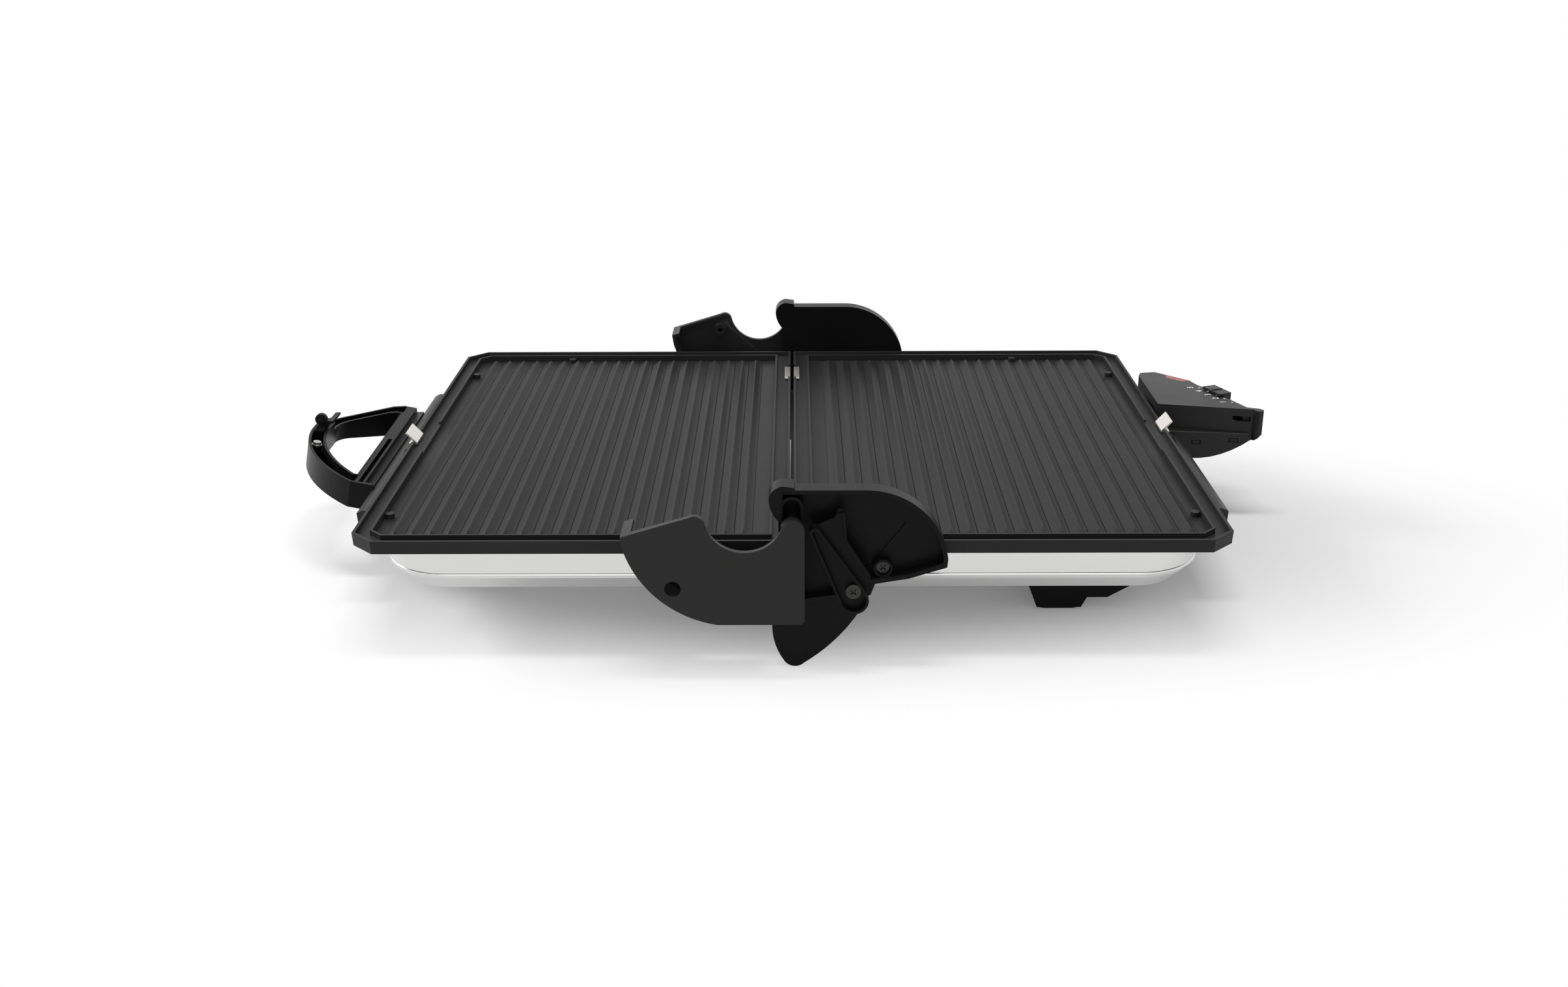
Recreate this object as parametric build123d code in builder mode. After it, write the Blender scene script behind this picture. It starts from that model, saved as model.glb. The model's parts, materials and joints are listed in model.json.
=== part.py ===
from build123d import *
import os

os.makedirs("parts", exist_ok=True)

# Contact grill lying open: the base on the +X side, the lid on the -X side, the hinge line along Y.
# All sizes are millimetres, +Z is up and the feet stand on Z = 0.

# Heights are given below the rim of the two trays, which lie level at RIM.
RIM = 66.0

# Grill plates
HINGE_EDGE = 1.0
PLATE_OUT = 222.0
PLATE_HALF = 170.0
CORNER_CUT = 12.0
SKIRT = 7.0
SKIRT_DRAFT = 3.0
LIP = 1.6
RAIL_INSET = 8.4
RAIL_X = 10.0
RAIL_WALL = 1.4
CHANNEL_DEPTH = 3.0
FLOOR_DEPTH = 4.2
UNDERSIDE = 6.2
PAD_BOTTOM = 9.0
RIBS = 20
RIB_PITCH = 9.32
RIB_MID = 113.25
RIB_HALF = PLATE_HALF - 14.0
RIB_WIDTH = 5.6
RIB_HEIGHT = 2.7

# Steel covers and what they hold
COVER_TOP = 7.0
COVER_BEND = 24.0
COVER_BOTTOM = 33.0
COVER_X0 = 10.0
COVER_X1 = PLATE_OUT - 9.0
COVER_HALF = PLATE_HALF - 7.0
COVER_DRAFT = 8.0
COVER_WALL = 0.8
COVER_OUTER_R = 38.0
COVER_INNER_R = 12.0
FIT_GAP = 0.3
SCREW_R = 1.9
FRAME_WALL = 2.2
FRAME_FLOOR = 2.0
FRAME_FLOOR_TOP = 19.8
TUBE_R = 3.3
TUBE_DEPTH = 12.3

# Hinge, stacked from the side of the plates outwards: base arm, lever, lid arm
PIN_Z = 13.0
PIN_R = 4.0
PIN_UP = 9.0
PIN_DOWN = 23.0
PIN_FIT = 0.05
SLOT_HALF = 4.25
ARM_B_IN = PLATE_HALF + 1.5
ARM_B_PLATE = ARM_B_IN + 2.5
ARM_B_OUT = ARM_B_PLATE + 7.3
LEVER_IN = ARM_B_OUT + 1.1
LEVER_WEB = 1.6
LEVER_OUT = LEVER_IN + 5.6
ARM_A_IN = LEVER_OUT + 1.5
ARM_A_OUT = ARM_A_IN + 3.0
BEARING_IN = LEVER_IN + 1.8
PIN_IN = ARM_B_PLATE + 0.5
PIN_OUT = LEVER_OUT

# Plate clips and hooks
CLIP_Y = 9.3
CLIP_WIDE = 17.0
HOOK_Y = 124.0
HOOK_WIDE = 26.0

# Handle and its catch
TRIM_OUT = PLATE_OUT + 12.0
TRIM_HALF = 104.0
GRIP_X = TRIM_OUT + 10.0
GRIP_SLOPE = 0.2
GRIP_TOP = 6.3
GRIP_TALL = 15.4
GRIP_WALL = 1.6
LOW_BEHIND = 17.5
LOW_TOP = 4.8
HANDLE_SCREWS = [-40, 40]
HANDLE_SCREW_DEPTH = 15.5

# Control housing
HOUSE_TOP = 4.8
HOUSE_SPLIT = 9.7
HOUSE_WALL = 2.0
HOUSE_X = PLATE_OUT + 1.8
HOUSE_LONG = 61.2
HOUSE_SIDE = 21.0

# Support under the base
FOOT_FACE = 110.0
FOOT_DEEP = 34.0
FOOT_BASE = 64.5


def save(piece, name):
    """Label one finished piece and write its STEP file."""
    piece.part.label = name
    export_step(piece.part, f"parts/{name}.step")


def flipped(piece, about):
    """The same piece on the other side of a plane."""
    with BuildPart() as copy:
        mirror(piece.part, about=about)
    return copy


def both_sides(piece):
    """The piece and its mirror image across the middle, as one group."""
    with BuildPart() as pair:
        add(piece.part)
        mirror(piece.part, about=Plane.XZ)
    return pair


def tray_points(inset, x_in):
    """Tray outline seen from above, inset from the outer edges, with its two outer corners cut off."""
    far = PLATE_OUT - inset
    half = PLATE_HALF - inset
    cut = CORNER_CUT - inset * 0.586
    return [
        (x_in, -half),
        (far - cut, -half),
        (far, cut - half),
        (far, half - cut),
        (far - cut, half),
        (x_in, half),
    ]


def cover_plan(depth, inset):
    """Rounded outline of the steel cover seen from above, inset from its top edge."""
    with BuildSketch(Plane.XY.offset(RIM - depth)) as plan:
        with Locations(((COVER_X0 + COVER_X1) / 2, 0)):
            Rectangle(COVER_X1 - COVER_X0 - 2 * inset, 2 * (COVER_HALF - inset))
        fillet(plan.vertices().group_by(Axis.X)[-1], COVER_OUTER_R - inset)
        fillet(plan.vertices().group_by(Axis.X)[0], COVER_INNER_R - inset)
    return plan.sketch


def side(y):
    """Upright sketch plane facing the front, y in front of the middle."""
    return Plane.XZ.offset(y)


def up(points):
    """Points given as (x, height above the rim) moved to their real height."""
    return [(x, RIM + z) for x, z in points]


# Grill plate: lip, drip channel, inner rail, ribbed floor and the thick pad the element heats
with BuildPart() as grill_plate:
    with BuildSketch(Plane.XY.offset(RIM)):
        Polygon(*tray_points(0, HINGE_EDGE), align=None)
    extrude(amount=-SKIRT, taper=SKIRT_DRAFT)
    with BuildSketch(Plane.XY.offset(RIM)):
        Polygon(*tray_points(LIP, HINGE_EDGE + LIP), align=None)
        Polygon(*tray_points(RAIL_INSET, RAIL_X), align=None, mode=Mode.SUBTRACT)
    extrude(amount=-CHANNEL_DEPTH, mode=Mode.SUBTRACT)
    with BuildSketch(Plane.XY.offset(RIM - SKIRT)):
        Polygon(*tray_points(2.8, HINGE_EDGE + 2.4), align=None)
    extrude(amount=SKIRT - UNDERSIDE, mode=Mode.SUBTRACT)
    with BuildSketch(Plane.XY.offset(RIM)):
        Polygon(*tray_points(RAIL_INSET + RAIL_WALL, RAIL_X + RAIL_WALL), align=None)
    extrude(amount=-FLOOR_DEPTH, mode=Mode.SUBTRACT)
    extrude(cover_plan(PAD_BOTTOM, 5.0), amount=PAD_BOTTOM - FLOOR_DEPTH)
    with BuildSketch(Plane.XY.offset(RIM - FLOOR_DEPTH)):
        with Locations((RIB_MID, 0)):
            with GridLocations(RIB_PITCH, 0, RIBS, 1):
                Polygon(
                    (0, -RIB_HALF),
                    (RIB_WIDTH / 2, 6 - RIB_HALF),
                    (RIB_WIDTH / 2, RIB_HALF - 6),
                    (0, RIB_HALF),
                    (-RIB_WIDTH / 2, RIB_HALF - 6),
                    (-RIB_WIDTH / 2, 6 - RIB_HALF),
                )
    extrude(amount=RIB_HEIGHT, taper=36)
    # Locating studs beside the rail
    with BuildSketch(Plane.XY.offset(RIM - FLOOR_DEPTH)):
        with Locations((209.6, -128), (209.6, 122), (150, PLATE_HALF - 12.4)):
            Circle(2.4)
    extrude(amount=FLOOR_DEPTH - 1.4)
    # Lowered rail where the juices run out into the channel
    with BuildSketch(Plane.XY.offset(RIM)):
        with Locations((PLATE_OUT - RAIL_INSET - RAIL_WALL / 2, -8)):
            Rectangle(RAIL_WALL + 0.6, 52)
    extrude(amount=-1.5, mode=Mode.SUBTRACT)
    # Slots for the two hooks
    with BuildSketch(Plane.XY.offset(RIM)):
        with Locations((3.0, -HOOK_Y), (3.0, HOOK_Y)):
            Rectangle(5.4, HOOK_WIDE + 1.6)
    extrude(amount=-2.6, mode=Mode.SUBTRACT)
    with BuildSketch(Plane.XY.offset(RIM)):
        with Locations((1.4, -HOOK_Y), (1.4, HOOK_Y)):
            Rectangle(2.4, HOOK_WIDE + 1.6)
    extrude(amount=-SKIRT, mode=Mode.SUBTRACT)


def seated(piece, x, y):
    """The plate with the seat of its spring clip cut into the outer lip."""
    with BuildPart() as plate:
        add(piece.part)
        with BuildSketch(Plane.XY.offset(RIM)):
            with Locations((x, y)):
                Rectangle(6.0, CLIP_WIDE + 1.6)
        extrude(amount=-2.6, mode=Mode.SUBTRACT)
    return plate


save(seated(grill_plate, PLATE_OUT - 1.2, CLIP_Y), "base_grill_plate")
save(seated(flipped(grill_plate, Plane.YZ), 1.2 - PLATE_OUT, -CLIP_Y), "lid_grill_plate")


def cover_shape(inset):
    """Solid form of the steel cover, drawn inset from its outer face."""
    with BuildPart() as form:
        extrude(cover_plan(COVER_TOP, inset), amount=COVER_TOP - COVER_BEND, taper=COVER_DRAFT)
        floor = form.faces().sort_by(Axis.Z)[0]
        extrude(floor, amount=COVER_BOTTOM - COVER_BEND - inset, taper=45)
    return form


# Outer form of the steel cover, used again to seat what is screwed to it
cover_form = cover_shape(0)
cover_inside = cover_shape(COVER_WALL)
lid_cover_form = flipped(cover_form, Plane.YZ)

# Steel cover: one deep-drawn pan
with BuildPart() as cover_pan:
    add(cover_form.part)
    add(cover_inside.part, mode=Mode.SUBTRACT)
lid_cover_pan = flipped(cover_pan, Plane.YZ)

LID_SCREWS = [(-49, -26.5), (-56, -24.8)]
FOOT_SCREW = (156, FOOT_DEEP / 2 - FOOT_FACE)
GLAND_X = 150.0
GLAND_DEPTH = 14.5
with BuildPart() as base_steel_cover:
    add(cover_pan.part)
    # Air slots in the underside
    with BuildSketch(Plane.XY.offset(RIM - COVER_BOTTOM)):
        with Locations((100, 0)):
            with GridLocations(10, 0, 7, 1):
                SlotOverall(70, 4, rotation=90)
    extrude(amount=COVER_WALL, mode=Mode.SUBTRACT)
    with BuildSketch(Plane.XY.offset(RIM - COVER_BOTTOM)):
        with Locations(FOOT_SCREW, (FOOT_SCREW[0], -FOOT_SCREW[1])):
            Circle(SCREW_R + 0.1)
    extrude(amount=COVER_WALL, mode=Mode.SUBTRACT)
    # Hole for the cord gland
    with BuildSketch(side(-COVER_HALF)):
        with Locations((GLAND_X, RIM - GLAND_DEPTH)):
            Circle(5.0)
    extrude(amount=8, mode=Mode.SUBTRACT)
save(base_steel_cover, "base_steel_cover")
with BuildPart() as lid_steel_cover:
    add(lid_cover_pan.part)
    with BuildSketch(side(-COVER_HALF)):
        with Locations(*up(LID_SCREWS)):
            Circle(1.8)
    extrude(amount=2 * COVER_HALF, mode=Mode.SUBTRACT)
save(lid_steel_cover, "lid_steel_cover")

# Frame inside each cover: it carries the plate on its rim and the reflector on its floor
POSTS = [(34, -70), (34, 70), (188, -80), (188, 105)]
with BuildPart() as frame_pan:
    extrude(cover_plan(UNDERSIDE, 1.0), amount=UNDERSIDE - FRAME_FLOOR_TOP - FRAME_FLOOR, taper=COVER_DRAFT)
    extrude(
        cover_plan(UNDERSIDE, 1.0 + FRAME_WALL),
        amount=UNDERSIDE - FRAME_FLOOR_TOP,
        taper=COVER_DRAFT,
        mode=Mode.SUBTRACT,
    )
    # Two windows and a middle bridge lighten the floor
    with BuildSketch(Plane.XY.offset(RIM - FRAME_FLOOR_TOP)):
        with Locations((111, -79), (111, 79)):
            Rectangle(130, 126)
    extrude(amount=-FRAME_FLOOR, mode=Mode.SUBTRACT)
    with BuildSketch(Plane.XY.offset(RIM - FRAME_FLOOR_TOP)):
        with Locations(*POSTS):
            Circle(2.5)
    extrude(amount=FRAME_FLOOR_TOP - TUBE_DEPTH - TUBE_R)
with BuildPart() as base_frame:
    add(frame_pan.part)
    with BuildSketch(side(-COVER_HALF)):
        with Locations((GLAND_X, RIM - GLAND_DEPTH)):
            Circle(4.2)
    extrude(amount=8, mode=Mode.SUBTRACT)
save(base_frame, "base_frame")
lid_frame = flipped(frame_pan, Plane.YZ)
save(lid_frame, "lid_frame")

# Heating element: one pressed tube bent to a loop, its cold ends towards the outer edge
with BuildPart() as base_heating_element:
    with BuildLine() as loop:
        FilletPolyline(
            (206, 38, RIM - TUBE_DEPTH),
            (188, 38, RIM - TUBE_DEPTH),
            (188, 28 - COVER_HALF, RIM - TUBE_DEPTH),
            (34, 28 - COVER_HALF, RIM - TUBE_DEPTH),
            (34, COVER_HALF - 28, RIM - TUBE_DEPTH),
            (188, COVER_HALF - 28, RIM - TUBE_DEPTH),
            (188, 84, RIM - TUBE_DEPTH),
            (206, 84, RIM - TUBE_DEPTH),
            radius=12,
        )
    with BuildSketch(Plane(origin=loop.line @ 0, x_dir=(0, 1, 0), z_dir=loop.line % 0)):
        RegularPolygon(TUBE_R, 8, rotation=22.5)
    sweep()
save(base_heating_element, "base_heating_element")
lid_heating_element = flipped(base_heating_element, Plane.YZ)
save(lid_heating_element, "lid_heating_element")

# Heat reflector: a thin pan under the element, pierced by the posts of the frame
PAN_SHEET = 0.6
PAN_LONG = COVER_X1 - COVER_X0 - 19
PAN_WIDE = 2 * COVER_HALF - 26
PAN_AT = ((COVER_X0 + COVER_X1) / 2, 0)
with BuildPart() as base_reflector:
    with BuildSketch(Plane.XY.offset(RIM - FRAME_FLOOR_TOP)):
        with Locations(PAN_AT):
            RectangleRounded(PAN_LONG, PAN_WIDE, 30)
    extrude(amount=5.5)
    with BuildSketch(Plane.XY.offset(RIM - FRAME_FLOOR_TOP + PAN_SHEET)):
        with Locations(PAN_AT):
            RectangleRounded(PAN_LONG - 2 * PAN_SHEET, PAN_WIDE - 2 * PAN_SHEET, 30 - PAN_SHEET)
    extrude(amount=5.5, mode=Mode.SUBTRACT)
    with BuildSketch(Plane.XY.offset(RIM - FRAME_FLOOR_TOP)):
        with Locations(*POSTS):
            Circle(3.0)
    extrude(amount=PAN_SHEET, mode=Mode.SUBTRACT)
    # Notches that let the cold ends of the element out
    with BuildSketch(Plane.XY.offset(RIM - TUBE_DEPTH - TUBE_R - FIT_GAP)):
        with Locations((203, 38), (203, 84)):
            Rectangle(6, 2 * TUBE_R + 1.2)
    extrude(amount=6, mode=Mode.SUBTRACT)
save(base_reflector, "base_reflector")
lid_reflector = flipped(base_reflector, Plane.YZ)
save(lid_reflector, "lid_reflector")

# Hooks that hold the hinge edge of each plate, foot against the cover
with BuildPart() as hook:
    with BuildSketch(side(HOOK_Y - HOOK_WIDE / 2)):
        Polygon(
            *up([(1.2, -18), (12, -18), (12, -17), (2.2, -17), (2.2, -2.3), (4.8, -2.3), (4.8, -1.3), (1.2, -1.3)]),
            align=None,
        )
    extrude(amount=HOOK_WIDE)
    add(cover_form.part, mode=Mode.SUBTRACT)
base_hooks = both_sides(hook)
save(base_hooks, "base_hooks")
lid_hooks = flipped(base_hooks, Plane.YZ)
save(lid_hooks, "lid_hooks")

# Trim strip along the outer end of each half, a channel open to below
with BuildPart() as trim_bar:
    with BuildSketch(side(-TRIM_HALF)):
        Polygon(
            *up([(204, -9.5), (TRIM_OUT - 3, -9.5), (TRIM_OUT, -11), (TRIM_OUT - 0.6, -20), (204, -20)]),
            align=None,
        )
    extrude(amount=2 * TRIM_HALF)
    with BuildSketch(side(2 - TRIM_HALF)):
        Polygon(
            *up([(216, -11.5), (TRIM_OUT - 3.4, -11.5), (TRIM_OUT - 2, -12.5), (TRIM_OUT - 2.4, -20), (216, -20)]),
            align=None,
        )
    extrude(amount=2 * TRIM_HALF - 4, mode=Mode.SUBTRACT)
    # Slot for the leg of the plate clip
    with BuildSketch(Plane.XY.offset(RIM - 9.5)):
        with Locations((PLATE_OUT + 3.9, CLIP_Y)):
            Rectangle(7.0, 10.8)
    extrude(amount=-2, mode=Mode.SUBTRACT)
    add(cover_form.part, mode=Mode.SUBTRACT)
with BuildPart() as lid_end_trim:
    add(trim_bar.part.rotate(Axis.Z, 180))
    # Holes for the two screws of the handle
    with BuildSketch(Plane.YZ.offset(-TRIM_OUT)):
        with Locations(*[(y, RIM - HANDLE_SCREW_DEPTH) for y in HANDLE_SCREWS]):
            Circle(1.8)
    extrude(amount=5, mode=Mode.SUBTRACT)
save(lid_end_trim, "lid_end_trim")
with BuildPart() as base_end_trim:
    add(trim_bar.part)
    with BuildSketch(Plane.XY.offset(RIM)):
        with Locations((220, HOUSE_SIDE + 50)):
            Rectangle(60, 100)
    extrude(amount=-30, mode=Mode.SUBTRACT)
save(base_end_trim, "base_end_trim")

# Spring clip: a strip over the outer lip of the plate, a finger tab that rises outwards, a leg and its foot
CLIP_HOOK = [(-3.0, -2.2), (-3.0, -0.9), (2.7, 5.3), (3.6, 4.5), (-1.4, -1.0), (1.9, -1.0), (1.9, -2.2)]
CLIP_LEG = [(0.9, -1.6), (1.9, -1.6), (1.9, -16), (-4.6, -16), (-4.6, -15), (0.9, -15)]
with BuildPart() as base_plate_clip:
    with BuildSketch(side(-CLIP_Y - CLIP_WIDE / 2)):
        Polygon(*up([(PLATE_OUT + x, z) for x, z in CLIP_HOOK]), align=None)
    extrude(amount=CLIP_WIDE)
    with BuildSketch(side(-CLIP_Y - 5)):
        Polygon(*up([(PLATE_OUT + x, z) for x, z in CLIP_LEG]), align=None)
    extrude(amount=10)
save(base_plate_clip, "base_plate_clip")
with BuildPart() as lid_plate_clip:
    add(base_plate_clip.part.rotate(Axis.Z, 180))
save(lid_plate_clip, "lid_plate_clip")

# Base arm: closed back plate, raised edge, boss round the blind slot of the hinge pin, claw, and the leg below
PIVOT = (30.2, -20.5)
PIVOT_R = 3.0
ARM_SCREWS = [(22, -13.5), (45, -11.2)]
SCREW_HEAD_R = 3.3
SCREW_SEAT = 1.2
SLOT_MID = PIN_Z + (PIN_UP - PIN_DOWN) / 2
SLOT_LONG = PIN_UP + PIN_DOWN + 2 * PIN_R + 2 * FIT_GAP


def arm_plate(y, inset):
    """Outline of the base arm's back plate on the plane y, drawn inset from its edge."""
    with BuildSketch(side(y)) as face:
        with BuildLine():
            Polyline(*up([(inset - 6.5, inset - 30), (inset - 6.5, 31 - inset), (36, 31 - inset)]))
            ThreePointArc(*up([(36, 31 - inset), (65 - 0.7 * inset, 19 - 0.7 * inset), (76.8 - inset, -5.6)]))
            Polyline(*up([(76.8 - inset, -5.6), (76.4 - inset, inset - 9.8), (57.7, inset - 15.7)]))
            Polyline(*up([(57.7, inset - 15.7), (41 - inset, inset - 18.5), (38.9 - inset, inset - 24.5)]))
            Line(*up([(38.9 - inset, inset - 24.5), (inset - 6.5, inset - 30)]))
        make_face()
    return face.sketch


def slot_shape(y, grow):
    """Outline of the slot of the hinge pin on the plane y, grown by the given wall."""
    with BuildSketch(side(y)) as slot:
        with Locations((0, RIM + SLOT_MID)):
            SlotOverall(SLOT_LONG + 2 * grow, 2 * (SLOT_HALF + grow), rotation=90)
    return slot.sketch


with BuildPart() as base_arm:
    extrude(arm_plate(ARM_B_IN, 0), amount=ARM_B_PLATE - ARM_B_IN)
    # Leg that stands on the table
    with BuildSketch(side(ARM_B_IN)):
        with BuildLine():
            Polyline(*up([(39.8, -23.5), (-6.5, -23.5), (-10, -30), (-10, -43)]))
            ThreePointArc(*up([(-10, -43), (-8.4, -54), (-4, -63)]))
            ThreePointArc(*up([(-4, -63), (0.6, -66), (6, -64.2)]))
            ThreePointArc(*up([(6, -64.2), (25, -47.5), (39.8, -23.5)]))
        make_face()
    extrude(amount=5.0)
    # Raised edge
    extrude(arm_plate(ARM_B_PLATE, 0), amount=ARM_B_OUT - ARM_B_PLATE)
    extrude(arm_plate(ARM_B_PLATE, 2.2), amount=ARM_B_OUT - ARM_B_PLATE, mode=Mode.SUBTRACT)
    # Shallow fan the lever sweeps over
    with BuildSketch(side(ARM_B_PLATE)):
        with BuildLine():
            Polyline(*up([(39, -11.5), (30, -14), (21.7, 20.9)]))
            ThreePointArc(*up([(21.7, 20.9), (40.5, 19.8), (56.2, 11.2)]))
            Line(*up([(56.2, 11.2), (39, -11.5)]))
        make_face()
    extrude(amount=-0.8, mode=Mode.SUBTRACT)
    # Boss round the slot, claw beside it and pivot stub of the lever
    extrude(slot_shape(ARM_B_PLATE, 1.5), amount=8)
    with BuildSketch(side(ARM_B_IN)):
        with BuildLine():
            Polyline(*up([(-4.6, 14), (-4.6, 31), (1.6, 31), (1.2, 33), (-4.4, 33.8)]))
            ThreePointArc(*up([(-4.4, 33.8), (-9.3, 31.2), (-11.2, 27)]))
            ThreePointArc(*up([(-11.2, 27), (-9.4, 19.8), (-4.6, 14)]))
        make_face()
    extrude(amount=ARM_B_OUT + 2 - ARM_B_IN)
    with BuildSketch(side(ARM_B_PLATE)):
        with Locations((PIVOT[0], RIM + PIVOT[1])):
            Circle(5.5)
    extrude(amount=LEVER_IN - ARM_B_PLATE - FIT_GAP)
    with BuildSketch(side(ARM_B_PLATE)):
        with Locations((PIVOT[0], RIM + PIVOT[1])):
            Circle(PIVOT_R)
    extrude(amount=LEVER_IN + LEVER_WEB + FIT_GAP - ARM_B_PLATE)
    # Slot of the hinge pin, closed behind by the back plate
    extrude(slot_shape(ARM_B_PLATE, 0), amount=20, mode=Mode.SUBTRACT)
    # Block that carries the arm on the cover, with its two screw bosses
    with BuildSketch(side(ARM_B_IN)):
        Polygon(*up([(8, -17.5), (50, -17.5), (50, -8.5), (8, -8.5)]), align=None)
    extrude(amount=COVER_HALF - 5.5 - ARM_B_IN)
    add(cover_form.part, mode=Mode.SUBTRACT)
    with BuildSketch(side(ARM_B_PLATE)):
        with Locations(*up(ARM_SCREWS)):
            Circle(SCREW_HEAD_R + 1.4)
    extrude(amount=5.5)
    with BuildSketch(side(ARM_B_PLATE + SCREW_SEAT)):
        with Locations(*up(ARM_SCREWS)):
            Circle(SCREW_HEAD_R + 0.3)
    extrude(amount=5, mode=Mode.SUBTRACT)
    with BuildSketch(side(COVER_HALF - 8)):
        with Locations(*up(ARM_SCREWS)):
            Circle(SCREW_R + 0.1)
    extrude(amount=30, mode=Mode.SUBTRACT)
save(base_arm, "base_arm_front")
base_arm_rear = flipped(base_arm, Plane.XZ)
save(base_arm_rear, "base_arm_rear")

# Screws of the base arms, heads outside, tips in the block
with BuildPart() as arm_screw:
    with BuildSketch(side(ARM_B_PLATE + SCREW_SEAT)):
        with Locations(*up(ARM_SCREWS)):
            Circle(SCREW_HEAD_R)
    extrude(amount=2.2)
    with BuildSketch(side(ARM_B_PLATE + SCREW_SEAT)):
        with Locations(*up(ARM_SCREWS)):
            Circle(SCREW_R)
    extrude(amount=-12)
    # Cross recess
    for turn in (45, 135):
        with BuildSketch(side(ARM_B_PLATE + SCREW_SEAT + 2.2)):
            with Locations(*up(ARM_SCREWS)):
                Rectangle(3.6, 0.9, rotation=turn)
        extrude(amount=-1.2, mode=Mode.SUBTRACT)
base_arm_screws = both_sides(arm_screw)
save(base_arm_screws, "base_arm_screws")

# Hinge pins
with BuildPart() as hinge_pin:
    with BuildSketch(side(PIN_IN)):
        with Locations((0, RIM + PIN_Z)):
            Circle(PIN_R)
    extrude(amount=PIN_OUT - PIN_IN)
    chamfer(hinge_pin.edges().filter_by(GeomType.CIRCLE), 0.6)
save(hinge_pin, "hinge_pin_front")
hinge_pin_rear = flipped(hinge_pin, Plane.XZ)
save(hinge_pin_rear, "hinge_pin_rear")

# Lid arm: outer plate with the round notch, edge walls, bearing of the pin and the mounting box
RING_AT = (-50, 12)


def lid_arm_outline():
    """Edge of the lid arm: along the top with its notch, round the head, down and back along the lower arc."""
    Polyline(*up([(-81.8, 4.6), (-82.8, 11.2), (-77.8, 12.7), (-49.5, 21.3)]))
    ThreePointArc(*up([(-49.5, 21.3), (-45, 21.6), (-42.2, 18)]))
    ThreePointArc(*up([(-42.2, 18), (-22, 3), (-4.4, 16)]))
    ThreePointArc(*up([(-4.4, 16), (0.6, 19.6), (6.2, 14)]))
    Polyline(*up([(6.2, 14), (6.2, -33.6), (4.4, -35.4), (-36.6, -35.4)]))
    ThreePointArc(*up([(-36.6, -35.4), (-66, -20.9), (-81.8, 4.6)]))


with BuildPart() as lid_arm:
    with BuildSketch(side(ARM_A_IN)):
        with BuildLine():
            lid_arm_outline()
        make_face()
        with Locations((-58.2, RIM - 16.1)):
            Circle(4.0, mode=Mode.SUBTRACT)
    extrude(amount=ARM_A_OUT - ARM_A_IN)
    # Deep wall along the outer end and the lower edge; closed, it wraps round the base arm
    with BuildSketch(side(ARM_B_IN - FIT_GAP)):
        with BuildLine():
            Polyline(
                *up([(-81.8, 4.6), (-82.8, 11.2), (-77.8, 12.7), (-47.6, 21.6), (-12, 0), (-12, -35.4), (-36.6, -35.4)])
            )
            ThreePointArc(*up([(-36.6, -35.4), (-66, -20.9), (-81.8, 4.6)]))
        make_face()
        offset(amount=-2.0, kind=Kind.INTERSECTION, mode=Mode.SUBTRACT)
        Polygon(
            *up([(-90, 20), (-79, 20), (-77, 6), (-74, 4), (-40, -20), (-15, -28), (-15, -40), (-90, -40)]),
            align=None,
            mode=Mode.INTERSECT,
        )
    extrude(amount=ARM_A_IN + FIT_GAP - ARM_B_IN)
    # Low wall along the upper edge, clear of the lever
    with BuildSketch(side(LEVER_OUT + FIT_GAP)):
        Polygon(*up([(-81, 5), (-82, 11.4), (-47.6, 21.4), (-48.6, 19), (-78.6, 10), (-78.6, 5)]), align=None)
    extrude(amount=ARM_A_IN - LEVER_OUT - FIT_GAP)
    with BuildSketch(side(LEVER_IN)):
        with Locations((RING_AT[0], RIM + RING_AT[1])):
            Circle(4.0)
            Circle(1.6, mode=Mode.SUBTRACT)
    extrude(amount=ARM_A_IN - LEVER_IN)
    # Bearing of the hinge pin
    with BuildSketch(side(BEARING_IN)):
        with Locations((0, RIM + PIN_Z)):
            Circle(5.5)
    extrude(amount=ARM_A_IN - BEARING_IN)
    with BuildSketch(side(BEARING_IN)):
        with Locations((0, RIM + PIN_Z)):
            Circle(PIN_R + PIN_FIT)
    extrude(amount=PIN_OUT + FIT_GAP - BEARING_IN, mode=Mode.SUBTRACT)
    # Mounting box between the deep wall and the lid cover, inside the outline of the arm
    with BuildSketch(side(ARM_B_IN - FIT_GAP)):
        with BuildLine():
            Polyline(*up([(-74, -11), (-46, -11), (-46, -31.8)]))
            ThreePointArc(*up([(-46, -31.8), (-62.6, -23.4), (-74, -11)]))
        make_face()
    extrude(amount=COVER_HALF - 13 - ARM_B_IN)
    add(lid_cover_form.part, mode=Mode.SUBTRACT)
    with BuildSketch(side(COVER_HALF - 13)):
        with Locations(*up(LID_SCREWS)):
            Circle(1.6)
    extrude(amount=20.6, mode=Mode.SUBTRACT)
save(lid_arm, "lid_arm_front")
lid_arm_rear = flipped(lid_arm, Plane.XZ)
save(lid_arm_rear, "lid_arm_rear")

# Screws of the lid arms, heads inside the cover
LID_HEAD = COVER_HALF - 11.6
with BuildPart() as lid_arm_screw:
    with BuildSketch(side(LID_HEAD)):
        with Locations(*up(LID_SCREWS)):
            Circle(3.0)
    extrude(amount=2)
    with BuildSketch(side(LID_HEAD + 2)):
        with Locations(*up(LID_SCREWS)):
            Circle(1.5)
    extrude(amount=16)
lid_arm_screws = both_sides(lid_arm_screw)
save(lid_arm_screws, "lid_arm_screws")

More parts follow.
